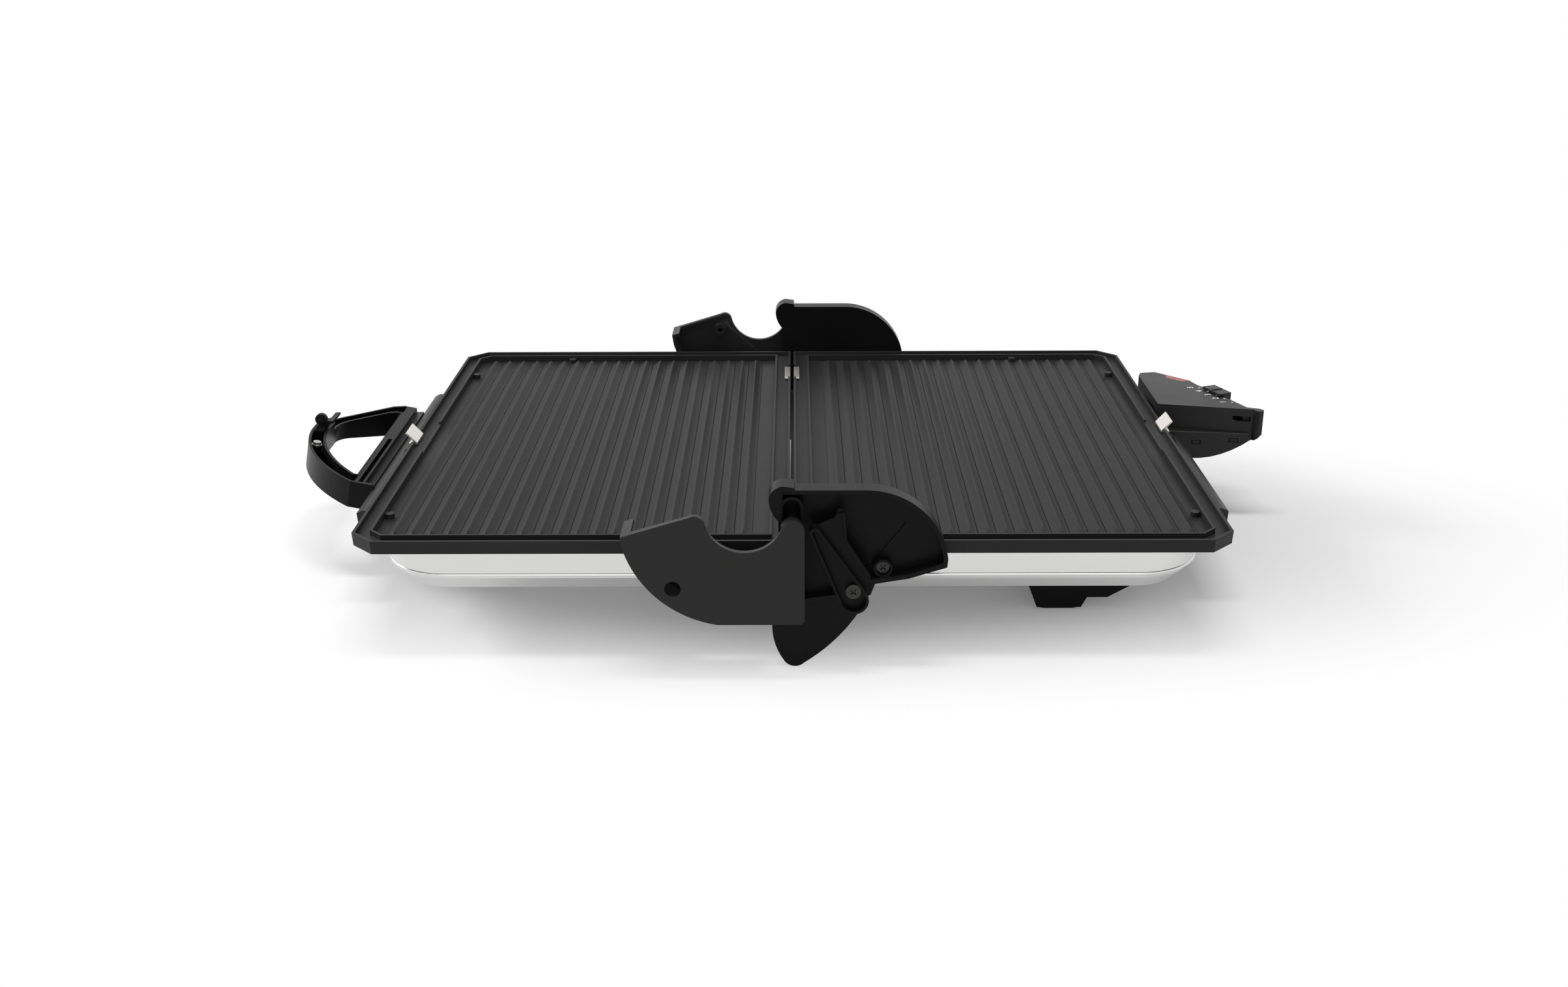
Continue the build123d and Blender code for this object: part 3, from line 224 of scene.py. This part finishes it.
dark_screw = grained(
    "blackened_screw", (0.02, 0.02, 0.02), (0.045, 0.043, 0.041), 1600, 0.2, (0.28, 0.4), 300.0, metallic=0.6
)
pad_rubber = grained("pad_rubber", (0.014, 0.014, 0.014), (0.02, 0.02, 0.02), 1400, 0.5, (0.7, 0.85))
ceramic = grained("white_ceramic", (0.72, 0.70, 0.66), (0.8, 0.78, 0.74), 1500, 0.1, (0.3, 0.4))
lens_red = grained("red_lens", (0.27, 0.035, 0.042), (0.38, 0.07, 0.078), 900, 0.35, (0.25, 0.4), 160.0)
print_white = grained("white_print", (0.78, 0.78, 0.77), (0.86, 0.86, 0.85), 1500, 0.1, (0.5, 0.6))
lamp_glass = grained("lamp_glass", (0.75, 0.6, 0.48), (0.85, 0.72, 0.6), 900, 0.05, (0.08, 0.15))

# %% [markdown]
# ## Brushed and bare steel
# The covers are brushed along their length: the scratches are long in X and very narrow across it. A noise
# that is squeezed along one axis makes them, and feeds the roughness and a weak bump. The small springs and
# screws are bare steel with a finer, more even skin.

# %% Steel materials
def brushed(name, colour, stretch, rough, depth):
    """Steel with long fine scratches; stretch scales the pattern along X, Y and Z."""
    material, tree, shader = new_material(name, colour, 1.0)
    place = tree.nodes.new("ShaderNodeTexCoord")
    squeeze = add_node(tree, "ShaderNodeMapping")
    squeeze.inputs["Scale"].default_value = stretch
    scratch = add_node(tree, "ShaderNodeTexNoise", Scale=1.0, Detail=6.0, Roughness=0.7)
    gloss = tree.nodes.new("ShaderNodeMapRange")
    gloss.inputs["To Min"].default_value = rough[0]
    gloss.inputs["To Max"].default_value = rough[1]
    bump = add_node(tree, "ShaderNodeBump", Distance=0.00002, Strength=depth)
    tree.links.new(place.outputs["Object"], squeeze.inputs["Vector"])
    tree.links.new(squeeze.outputs["Vector"], scratch.inputs["Vector"])
    tree.links.new(scratch.outputs["Fac"], gloss.inputs["Value"])
    tree.links.new(scratch.outputs["Fac"], bump.inputs["Height"])
    tree.links.new(gloss.outputs["Result"], shader.inputs["Roughness"])
    tree.links.new(bump.outputs["Normal"], shader.inputs["Normal"])
    return material


cover_steel = brushed("brushed_cover_steel", (0.68, 0.68, 0.675), (10, 10, 2400), (0.15, 0.30), 0.5)
spring_steel = brushed("bare_spring_steel", (0.72, 0.69, 0.66), (1500, 60, 1500), (0.30, 0.42), 0.3)
screw_steel = brushed("plated_screw", (0.62, 0.61, 0.60), (2200, 2200, 2200), (0.28, 0.40), 0.2)
element_steel = brushed("annealed_tube", (0.35, 0.33, 0.31), (900, 900, 900), (0.4, 0.55), 0.2)
reflector_sheet = brushed("bright_sheet", (0.85, 0.85, 0.85), (1200, 20, 1200), (0.15, 0.25), 0.2)


# %% [markdown]
# ## Rounded edges for the CAD solids
# Nothing that is moulded or cast has knife edges, and it is the thin bright line along a rounded edge that
# makes black parts readable. Each node that is rounded gets a copy: its doubled corners are merged, its flat
# triangles are joined to faces, and a Bevel modifier rounds what is sharper than 30 degrees. A CAD node's
# mesh may not be changed, so each visible node gets a copy: its doubled corners are merged, its flat
# triangles are joined to faces, and a Bevel modifier rounds what is sharper than 30 degrees. The copy then
# stands for the node, which is hidden.

# %% The edge-rounding helper
MERGE_DISTANCE = 0.000002
FLAT_ANGLE = 0.6


def rounded(node, material, width, segments=2, angle=30.0, prepare=None, bend=None):
    """Makes a copy of a CAD node with rounded edges that replaces the node and rides on its body.

    prepare changes the merged copy before its faces are joined; bend is the height in millimetres of the only
    edges that are rounded, for a sheet metal pan.
    """
    source = frame["nodes"][node]
    mesh = source.data.copy()
    shape = bmesh.new()
    shape.from_mesh(mesh)
    bmesh.ops.remove_doubles(shape, verts=shape.verts, dist=MERGE_DISTANCE)
    if prepare:
        prepare(shape)
    bmesh.ops.dissolve_limit(
        shape, angle_limit=math.radians(FLAT_ANGLE), verts=shape.verts, edges=shape.edges
    )
    if bend:
        weights = shape.edges.layers.float.new("bevel_weight_edge")
        for edge in shape.edges:
            edge[weights] = float(all(abs(v.co.z - bend * MM) < 0.0001 for v in edge.verts))
    shape.to_mesh(mesh)
    shape.free()
    mesh.materials.clear()
    mesh.materials.append(material)
    mesh.shade_smooth()
    mesh.set_sharp_from_angle(angle=math.radians(angle))
    piece = placed(node + "_form", mesh)
    if width:
        bevel = piece.modifiers.new("soft_edges", "BEVEL")
        bevel.width = width * MM
        bevel.segments = segments
        bevel.limit_method = "WEIGHT" if bend else "ANGLE"
        bevel.angle_limit = math.radians(angle)
        bevel.harden_normals = True
        bevel.use_clamp_overlap = True
    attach(piece, source["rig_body"])
    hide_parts(node)


# %% [markdown]
# ## Dress the nodes
# Each node gets the finish of the real piece. The parts that lie in shade are the exception: they get a
# darker copy of the black plastic with weaker reflections, which paints their shade. The width of the
# rounding follows how it is made: wide on cast and moulded parts, almost nothing on sheet metal.

# %% Moulded and cast parts
MOULDED = {
    "base_arm_front": 0.6,
    "base_arm_rear": 0.6,
    "lid_arm_front": 0.7,
    "lid_arm_rear": 0.7,
    "lid_handle": 0.5,
    "control_housing_upper": 1.0,
    "control_housing_lower": 0.9,
    "temperature_slider": 0.5,
    "hinge_release_lever": 0.6,
    "handle_catch": 0.4,
    "base_end_trim": 0.4,
    "lid_end_trim": 0.4,
    "foot_front": 0.8,
    "foot_rear": 0.8,
}
# These parts take the darker black: painted shade on the arms, lever, handle, catch and feet
PAINTED_SHADE_PARTS = (
    "base_arm_front",
    "base_arm_rear",
    "hinge_release_lever",
    "lid_handle",
    "handle_catch",
    "foot_front",
    "foot_rear",
)
for node, width in MOULDED.items():
    rounded(node, shaded_black_plastic if node in PAINTED_SHADE_PARTS else black_plastic, width)

# Depths below the rim, and the field that holds the ribs, in millimetres
RIB_TOP, PLATE_FLOOR = 1.5, 4.2
FIELD_NEAR, FIELD_FAR, FIELD_HALF = 20, 207, 157


def press_ribs(shape):
    """Presses the plain ribs flat into the floor of the plate; the fluted ribs take their place."""
    for v in shape.verts:
        on_crest = abs(v.co.z - (RIM - RIB_TOP) * MM) < 0.00005
        in_field = abs(v.co.y) < FIELD_HALF * MM and FIELD_NEAR * MM < abs(v.co.x) < FIELD_FAR * MM
        if on_crest and in_field:
            v.co.z = (RIM - PLATE_FLOOR) * MM


for node in ("base_grill_plate", "lid_grill_plate"):
    rounded(node, nonstick, 0.45, segments=3, prepare=press_ribs)
print("moulded parts dressed:", len(MOULDED))

# %% Sheet metal, screws and the parts inside
COVER_BEND = 24.0
for node in ("base_steel_cover", "lid_steel_cover"):
    rounded(node, cover_steel, 3.0, segments=5, angle=25.0, bend=RIM - COVER_BEND)
for node in ("base_plate_clip", "lid_plate_clip", "base_hooks", "lid_hooks"):
    rounded(node, spring_steel, 0.15)
KEPT = {
    "base_arm_screws": dark_screw,
    "lid_arm_screws": screw_steel,
    "foot_screws": screw_steel,
    "handle_screws": dark_screw,
    "handle_catch_screw": screw_steel,
    "control_housing_screws": screw_steel,
    "lever_screw": dark_screw,
    "hinge_pin_front": dark_screw,
    "hinge_pin_rear": dark_screw,
    "base_heating_element": element_steel,
    "lid_heating_element": element_steel,
    "base_reflector": reflector_sheet,
    "lid_reflector": reflector_sheet,
    "base_frame": gloss_plastic,
    "lid_frame": gloss_plastic,
    "foot_pads": pad_rubber,
    "cord_gland": pad_rubber,
    "thermostat": ceramic,
    "terminal_block": ceramic,
    "indicator_lamp": lamp_glass,
    "indicator_lens": lens_red,
}
for node, material in KEPT.items():
    data = frame["nodes"][node].data
    data.materials.clear()
    data.materials.append(material)
print("nodes kept as they are:", len(KEPT))

# %% [markdown]
# ## The bead round the steel covers
# Where the wall of a cover turns under, the press has raised a narrow bead that stiffens the thin sheet. It
# draws the bright line that runs round the whole pan. A curve with a round bevel follows the outline of the
# wall at that height, most of it sunk into the sheet.

# %% Press the beads
BEAD_DEPTH, BEAD_RADIUS, BEAD_SUNK = 22.4, 1.1, 0.45
COVER_TOP, COVER_DRAFT = 7.0, 8.0
COVER_INNER, COVER_OUTER, COVER_HALF = 10.0, 213.0, 163.0
INNER_RADIUS, OUTER_RADIUS = 12.0, 38.0
CORNER_STEPS = 12


def wall_outline(depth, sunk):
    """Outline of the cover wall at a depth below the rim, moved inwards by sunk, in millimetres."""
    inset = (depth - COVER_TOP) * math.tan(math.radians(COVER_DRAFT)) + sunk
    inner, outer, half_width = COVER_INNER + inset, COVER_OUTER - inset, COVER_HALF - inset
    points = []
    for x, y_side, radius, turn in (
        (outer, -1, OUTER_RADIUS - inset, 270),
        (outer, 1, OUTER_RADIUS - inset, 360),
        (inner, 1, INNER_RADIUS - inset, 90),
        (inner, -1, INNER_RADIUS - inset, 180),
    ):
        middle_x = x - radius if x == outer else x + radius
        middle_y = y_side * (half_width - radius)
        for step in range(CORNER_STEPS + 1):
            angle = math.radians(turn + step * 90 / CORNER_STEPS)
            points.append((middle_x + radius * math.cos(angle), middle_y + radius * math.sin(angle)))
    return points


for body, side in (("base", 1), ("lid", -1)):
    line = bpy.data.curves.new(body + "_bead_line", "CURVE")
    line.dimensions = "3D"
    run = line.splines.new("POLY")
    outline = wall_outline(BEAD_DEPTH, BEAD_SUNK)
    run.points.add(len(outline) - 1)
    for point, (x, y) in zip(run.points, outline):
        point.co = (side * x * MM, y * MM, (RIM - BEAD_DEPTH) * MM, 1.0)
    run.use_cyclic_u = True
    line.bevel_depth = BEAD_RADIUS * MM
    line.bevel_resolution = 3
    mesh = flattened(placed("bead_line", line))
    shape = bmesh.new()
    shape.from_mesh(mesh)
    bmesh.ops.recalc_face_normals(shape, faces=shape.faces)
    shape.to_mesh(mesh)
    shape.free()
    mesh.materials.clear()
    mesh.materials.append(cover_steel)
    mesh.shade_smooth()
    bead = placed(body + "_cover_bead", mesh)
    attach(bead, body)
    print(bead.name, "faces:", len(mesh.polygons))

# %% [markdown]
# ## The ribs of the grill plates
# The CAD plate carries plain ribs. On the real casting the valleys between them are hollow rounds that meet
# in narrow crests, and each crest sinks into the floor at both ends. Twenty equal ribs are work for Geometry
# Nodes: a grid is raised to one crest with a half valley on either side, its height falls to nothing at the
# ends, and the rib is set out along a line.

# %% Build the rib tree
rib_tree = bpy.data.node_groups.new("fluted_ribs", "GeometryNodeTree")
rib_tree.interface.new_socket("Geometry", in_out="OUTPUT", socket_type="NodeSocketGeometry")
rib_inputs = {}
for label, kind, start in (
    ("Ribs", "NodeSocketInt", 20),
    ("Pitch", "NodeSocketFloat", 0.00932),
    ("Length", "NodeSocketFloat", 0.3145),
    ("Height", "NodeSocketFloat", 0.0031),
    ("End Taper", "NodeSocketFloat", 0.005),
    ("Crest Softness", "NodeSocketFloat", 0.06),
    ("First X", "NodeSocketFloat", 0.02471),
    ("Floor Z", "NodeSocketFloat", 0.06182),
    ("Seed", "NodeSocketInt", 1),
    ("Finish", "NodeSocketMaterial", None),
):
    socket = rib_tree.interface.new_socket(label, in_out="INPUT", socket_type=kind)
    if start is not None:
        socket.default_value = start
    rib_inputs[label] = socket.identifier
given = rib_tree.nodes.new("NodeGroupInput")
result = rib_tree.nodes.new("NodeGroupOutput")


def maths(tree, operation, first, second=None):
    """A Math node; each value is a number or a socket."""
    node = add_node(tree, "ShaderNodeMath", operation=operation)
    for index, value in enumerate((first, second)):
        if value is None:
            continue
        if isinstance(value, (int, float)):
            node.inputs[index].default_value = value
        else:
            tree.links.new(value, node.inputs[index])
    return node.outputs["Value"]


def vector(tree, x, y, z):
    """A Combine XYZ node; each value is a number or a socket."""
    node = tree.nodes.new("ShaderNodeCombineXYZ")
    for index, value in enumerate((x, y, z)):
        if isinstance(value, (int, float)):
            node.inputs[index].default_value = value
        else:
            tree.links.new(value, node.inputs[index])
    return node.outputs["Vector"]


# %% Make one rib as a grid
# A grid of one pitch by the length; its points crowd towards the two ends, where the height changes fastest
grid = add_node(rib_tree, "GeometryNodeMeshGrid", Vertices_X=23, Vertices_Y=45)
rib_tree.links.new(given.outputs["Pitch"], grid.inputs["Size X"])
rib_tree.links.new(given.outputs["Length"], grid.inputs["Size Y"])
spot = rib_tree.nodes.new("ShaderNodeSeparateXYZ")
rib_tree.links.new(rib_tree.nodes.new("GeometryNodeInputPosition").outputs["Position"], spot.inputs["Vector"])
across = maths(rib_tree, "DIVIDE", spot.outputs["X"], given.outputs["Pitch"])
half = maths(rib_tree, "MULTIPLY", given.outputs["Length"], 0.5)
share = maths(rib_tree, "DIVIDE", spot.outputs["Y"], half)
quarter_turn = maths(rib_tree, "MULTIPLY", share, math.pi / 2)
along = maths(rib_tree, "MULTIPLY", maths(rib_tree, "SINE", quarter_turn), half)
# The valley is a half sine wave; the softness rounds the crest where two valleys meet
swing = maths(rib_tree, "SINE", maths(rib_tree, "MULTIPLY", across, math.pi))
soft_squared = maths(rib_tree, "POWER", given.outputs["Crest Softness"], 2.0)
swing_squared = maths(rib_tree, "MULTIPLY", swing, swing)
round_swing = maths(rib_tree, "SQRT", maths(rib_tree, "ADD", swing_squared, soft_squared))
rise = maths(rib_tree, "MAXIMUM", maths(rib_tree, "SUBTRACT", 1.0, round_swing), 0.0)
# Distance to the nearer end, as a share of the taper, lowers the ends in a quarter round
to_end = maths(rib_tree, "SUBTRACT", half, maths(rib_tree, "ABSOLUTE", along))
fade = maths(rib_tree, "MINIMUM", maths(rib_tree, "DIVIDE", to_end, given.outputs["End Taper"]), 1.0)
fall = maths(rib_tree, "SINE", maths(rib_tree, "MULTIPLY", fade, math.pi / 2))
height = maths(rib_tree, "MULTIPLY", maths(rib_tree, "MULTIPLY", rise, fall), given.outputs["Height"])
wave = rib_tree.nodes.new("GeometryNodeSetPosition")
rib_tree.links.new(grid.outputs["Mesh"], wave.inputs["Geometry"])
rib_tree.links.new(vector(rib_tree, spot.outputs["X"], along, height), wave.inputs["Position"])
# A flat underside closes the rib, so that it is a solid form like the casting
back = rib_tree.nodes.new("GeometryNodeSetPosition")
rib_tree.links.new(grid.outputs["Mesh"], back.inputs["Geometry"])
rib_tree.links.new(vector(rib_tree, spot.outputs["X"], along, 0.0), back.inputs["Position"])
turned = rib_tree.nodes.new("GeometryNodeFlipFaces")
rib_tree.links.new(back.outputs["Geometry"], turned.inputs["Mesh"])
pair = rib_tree.nodes.new("GeometryNodeJoinGeometry")
rib_tree.links.new(wave.outputs["Geometry"], pair.inputs["Geometry"])
rib_tree.links.new(turned.outputs["Mesh"], pair.inputs["Geometry"])
closed = add_node(rib_tree, "GeometryNodeMergeByDistance", Distance=0.000002)
rib_tree.links.new(pair.outputs["Geometry"], closed.inputs["Geometry"])

# %% Set the ribs out and finish them
row = rib_tree.nodes.new("GeometryNodeMeshLine")
rib_tree.links.new(given.outputs["Ribs"], row.inputs["Count"])
first_rib = vector(rib_tree, given.outputs["First X"], 0.0, given.outputs["Floor Z"])
next_rib = vector(rib_tree, given.outputs["Pitch"], 0.0, 0.0)
rib_tree.links.new(first_rib, row.inputs["Start Location"])
rib_tree.links.new(next_rib, row.inputs["Offset"])
plant = rib_tree.nodes.new("GeometryNodeInstanceOnPoints")
rib_tree.links.new(row.outputs["Mesh"], plant.inputs["Points"])
rib_tree.links.new(closed.outputs["Geometry"], plant.inputs["Instance"])
real = rib_tree.nodes.new("GeometryNodeRealizeInstances")
rib_tree.links.new(plant.outputs["Instances"], real.inputs["Geometry"])
smooth = rib_tree.nodes.new("GeometryNodeSetShadeSmooth")
rib_tree.links.new(real.outputs["Geometry"], smooth.inputs["Geometry"])
finish = rib_tree.nodes.new("GeometryNodeSetMaterial")
rib_tree.links.new(smooth.outputs["Geometry"], finish.inputs["Geometry"])
rib_tree.links.new(given.outputs["Finish"], finish.inputs["Material"])
rib_tree.links.new(finish.outputs["Geometry"], result.inputs["Geometry"])


# %% Grow the ribs on each plate
def grown(name, tree, identifiers, values):
    """Runs a Geometry Nodes tree with the given input values; returns the result as a plain mesh object."""
    holder = placed(name + "_grower", bpy.data.meshes.new(name + "_grower"))
    modifier = holder.modifiers.new("grow", "NODES")
    modifier.node_group = tree
    for label, value in values.items():
        modifier[identifiers[label]] = value
    bpy.context.view_layer.update()
    graph = bpy.context.evaluated_depsgraph_get()
    mesh = bpy.data.meshes.new_from_object(
        holder.evaluated_get(graph), preserve_all_data_layers=True, depsgraph=graph
    )
    bpy.data.objects.remove(holder)
    return placed(name, mesh)


FIRST_RIB = {"base": 0.02471, "lid": -0.20179}
for body, first in FIRST_RIB.items():
    values = {"Ribs": 20, "First X": first, "Finish": nonstick}
    ribs = grown(body + "_plate_ribs", rib_tree, rib_inputs, values)
    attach(ribs, body)
    top = max(v.co.z for v in ribs.data.vertices)
    print(ribs.name, "faces:", len(ribs.data.polygons), "top in mm:", round(top * 1000, 2))

# %% [markdown]
# ## Small forms that the solids leave out
# The lower shell of the control housing stands a little further forward than the upper one and ends in a
# ledge, and its front has two snap windows with a tab in each; the windows are thin dark boxes that paint the
# shade in the openings. Under the hinge edge of the base plate a dark lip closes the gap. It is painted shade
# for the gap, and it keeps light from coming through between the two trays. Both are simple enough to build
# point by point.

# %% Loft the front of the lower shell
def finished(name, shape, material, body, width):
    """Turns a bmesh into a bevelled piece on a body."""
    bmesh.ops.recalc_face_normals(shape, faces=shape.faces)
    mesh = bpy.data.meshes.new(name)
    shape.to_mesh(mesh)
    shape.free()
    mesh.materials.append(material)
    mesh.shade_smooth()
    mesh.set_sharp_from_angle(angle=math.radians(30))
    piece = placed(name, mesh)
    bevel = piece.modifiers.new("soft_edges", "BEVEL")
    bevel.width = width * MM
    bevel.segments = 2
    bevel.limit_method = "ANGLE"
    bevel.harden_normals = True
    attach(piece, body)


def add_box(shape, low, high, turn=0.0):
    """Adds a box between two corners in millimetres, turned about its own middle."""
    size = Vector(high) - Vector(low)
    middle = (Vector(high) + Vector(low)) / 2
    place = Matrix.Translation(middle * MM) @ Matrix.Rotation(turn, 4, "Z")
    bmesh.ops.create_cube(shape, size=1.0, matrix=place @ Matrix.Diagonal((*(size * MM), 1.0)))


# The upper front starts at this corner and falls back by the slope; the ledge starts this far ahead of it and
# loses the taper over its length
FRONT_X, FRONT_Y, FRONT_SLOPE = 223.8, 34.4, 0.2118
LEDGE_X, LEDGE_LONG, LEDGE_AHEAD, LEDGE_TAPER = 224.6, 52.8, 6.5, 4.3
LEDGE_TOP = -10.0
BELLY_Z, BELLY_END, BELLY_RISE, BELLY_RUN, BELLY_POWER = -27.4, 244, 12.4, 33.5, 2.1


def front_face(x):
    """Where the front of the upper shell is, along Y."""
    return FRONT_Y - FRONT_SLOPE * (x - FRONT_X)


def ledge_face(x):
    """Where the front of the lower shell is, along Y."""
    return front_face(x) - LEDGE_AHEAD + LEDGE_TAPER * (x - LEDGE_X) / LEDGE_LONG


def belly(x):
    """Underside of the lower shell below the rim."""
    if x < BELLY_END:
        return BELLY_Z
    return BELLY_Z + BELLY_RISE * ((x - BELLY_END) / BELLY_RUN) ** BELLY_POWER


shape = bmesh.new()
rings = []
for x in (LEDGE_X, 231, 238, 244, 250, 256, 262, 268, 273, LEDGE_X + LEDGE_LONG):
    back, ahead = front_face(x) + 1, ledge_face(x)
    section = ((back, LEDGE_TOP), (ahead, LEDGE_TOP), (ahead, belly(x)), (back, belly(x)))
    rings.append([shape.verts.new((x * MM, y * MM, (RIM + z) * MM)) for y, z in section])
for ring, following in zip(rings, rings[1:]):
    for k in range(4):
        shape.faces.new((ring[k], ring[(k + 1) % 4], following[(k + 1) % 4], following[k]))
shape.faces.new(rings[0])
shape.faces.new(rings[-1])
finished("housing_lower_front", shape, black_plastic, "base", 0.6)

# %% Snap windows and the lip under the hinge edge
FACE_TURN = math.atan2(-FRONT_SLOPE + LEDGE_TAPER / LEDGE_LONG, 1.0)
# The windows are thin dark boxes on the face of the ledge: painted shade for the openings, with a tab in each
shape = bmesh.new()
tabs = bmesh.new()
for x, z in ((246.6, -16.6), (268.6, -14.6)):
    y = ledge_face(x)
    add_box(shape, (x - 3.0, y - 0.06, RIM + z - 1.3), (x + 3.0, y + 0.4, RIM + z + 1.3), FACE_TURN)
    add_box(tabs, (x - 2.0, y - 0.3, RIM + z - 0.7), (x + 2.0, y + 0.4, RIM + z + 0.7), FACE_TURN)
finished("housing_snap_window_shade", shape, shaded_black_plastic, "base", 0.02)
finished("housing_snap_tabs", tabs, black_plastic, "base", 0.15)
# A dark sheet under the hinge edge: painted shade for the gap between the trays, and it keeps light from
# coming through
shape = bmesh.new()
for low, high in ((-162, -138), (-110, 110), (138, 162)):
    add_box(shape, (-0.8, low, RIM - 10.4), (12.0, high, RIM - 9.2))
finished("base_hinge_shade_lip", shape, shaded_black_plastic, "base", 0.2)
print("small forms added")

# %% [markdown]
# ## Numbers on the control housing
# The slider runs past five numbers. Each is a text object made into a mesh before it is placed, with a dot
# beside it, and it lies 0.06 mm proud of the housing like a real print.

# %% Print the numbers
HOUSE_TOP = 4.8
PRINT_HALF = 0.03
FIGURE_SIZE, FIGURE_BOLD = 5.2, 0.08
DOT_RADIUS, DOT_X, DOT_Y = 0.6, 5.2, -1.0
NUMBERS = {"5": (251.2, 67.7), "4": (255.0, 60.3), "3": (258.6, 52.8), "2": (261.6, 45.4), "1": (264.4, 37.9)}
for digit, (x, y) in NUMBERS.items():
    text = bpy.data.curves.new("number_" + digit, "FONT")
    text.body = digit
    text.size = FIGURE_SIZE * MM
    text.offset = FIGURE_BOLD * MM
    text.align_x = "CENTER"
    text.align_y = "CENTER"
    text.extrude = PRINT_HALF * MM
    mesh = flattened(placed("number_text", text))
    lift = (RIM + HOUSE_TOP + PRINT_HALF) * MM
    mesh.transform(Matrix.Translation((x * MM, y * MM, lift)) @ Matrix.Rotation(math.pi / 2, 4, "Z"))
    dot = bmesh.new()
    dot.from_mesh(mesh)
    bmesh.ops.create_cone(
        dot,
        cap_ends=True,
        segments=16,
        radius1=DOT_RADIUS * MM,
        radius2=DOT_RADIUS * MM,
        depth=2 * PRINT_HALF * MM,
        matrix=Matrix.Translation(((x + DOT_X) * MM, (y + DOT_Y) * MM, lift)),
    )
    dot.to_mesh(mesh)
    dot.free()
    mesh.materials.clear()
    mesh.materials.append(print_white)
    number = placed("setting_" + digit, mesh)
    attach(number, "base")
print("numbers printed:", len(NUMBERS))

# %% [markdown]
# ## Floor and light
# The picture is a cut-out on white with a soft shadow. The floor and the world are white to the camera, to
# mirrors and through glass. Close to the object an eighth of the floor's brightness is its own, so that the
# shadow stays; a step further out all of it is, so that the floor goes over into white. The object is lit by
# a pale world, a lamp from the left and behind, a long one overhead and a weak, wide one in front.

# %% Floor
def seen_directly(tree):
    """1 for camera, glossy and transmission rays, 0 for the rays that carry light to the object."""
    paths = tree.nodes.new("ShaderNodeLightPath")
    seen = maths(tree, "MAXIMUM", paths.outputs["Is Camera Ray"], paths.outputs["Is Glossy Ray"])
    return maths(tree, "MAXIMUM", seen, paths.outputs["Is Transmission Ray"])


floor_mesh = bpy.data.meshes.new("floor")
floor_mesh.from_pydata([(-30, -12, 0), (30, -12, 0), (30, 60, 0), (-30, 60, 0)], [], [(0, 1, 2, 3)])
floor = placed("floor", floor_mesh)
floor_paint, tree, shader = new_material("white_floor", (0.86, 0.86, 0.86), 0.0, 0.9, 0.1)
glow = add_node(tree, "ShaderNodeEmission", Strength=1.0)
# The floor's own share grows with the distance from the middle; distances along X count less than half
place = tree.nodes.new("ShaderNodeTexCoord")
narrow = add_node(tree, "ShaderNodeMapping")
narrow.inputs["Scale"].default_value = (0.45, 1.0, 1.0)
reach = add_node(tree, "ShaderNodeVectorMath", operation="LENGTH")
own = add_node(tree, "ShaderNodeMapRange", interpolation_type="SMOOTHSTEP")
for label, value in (("From Min", 0.11), ("From Max", 0.24), ("To Min", 0.12), ("To Max", 1.0)):
    own.inputs[label].default_value = value
blend_node = tree.nodes.new("ShaderNodeMixShader")
tree.links.new(place.outputs["Object"], narrow.inputs["Vector"])
tree.links.new(narrow.outputs["Vector"], reach.inputs[0])
tree.links.new(reach.outputs["Value"], own.inputs["Value"])
own_share = maths(tree, "MULTIPLY", seen_directly(tree), own.outputs["Result"])
tree.links.new(own_share, blend_node.inputs["Fac"])
tree.links.new(shader.outputs["BSDF"], blend_node.inputs[1])
tree.links.new(glow.outputs["Emission"], blend_node.inputs[2])
tree.links.new(blend_node.outputs["Shader"], tree.nodes["Material Output"].inputs["Surface"])
floor_mesh.materials.append(floor_paint)

# %% World
world = bpy.data.worlds.new("studio")
bpy.context.scene.world = world
world.use_nodes = True
tree = world.node_tree
ambient = tree.nodes["Background"]
ambient.inputs["Color"].default_value = (0.36, 0.36, 0.37, 1.0)
white = add_node(tree, "ShaderNodeBackground", Strength=1.0)
white.inputs["Color"].default_value = (1.0, 1.0, 1.0, 1.0)
choose = tree.nodes.new("ShaderNodeMixShader")
tree.links.new(seen_directly(tree), choose.inputs["Fac"])
tree.links.new(ambient.outputs["Background"], choose.inputs[1])
tree.links.new(white.outputs["Background"], choose.inputs[2])
tree.links.new(choose.outputs["Shader"], tree.nodes["World Output"].inputs["Surface"])


# %% Lamps
def area_lamp(name, place, aim, size, power):
    """A rectangular soft lamp that points at a spot."""
    data = bpy.data.lights.new(name, "AREA")
    data.shape = "RECTANGLE"
    data.size, data.size_y = size
    data.energy = power
    lamp = placed(name, data)
    lamp.location = place
    lamp.rotation_euler = (Vector(aim) - Vector(place)).to_track_quat("-Z", "Y").to_euler()


area_lamp("key_left", (-1.9, 0.6, 1.15), (0, 0, 0.05), (0.7, 0.6), 34)
area_lamp("overhead", (0.0, -0.3, 1.9), (0, 0, 0), (1.0, 0.28), 16)
area_lamp("front_fill", (0.0, -2.2, 1.0), (0, 0, 0.05), (2.0, 1.0), 6)
print("lamps set")
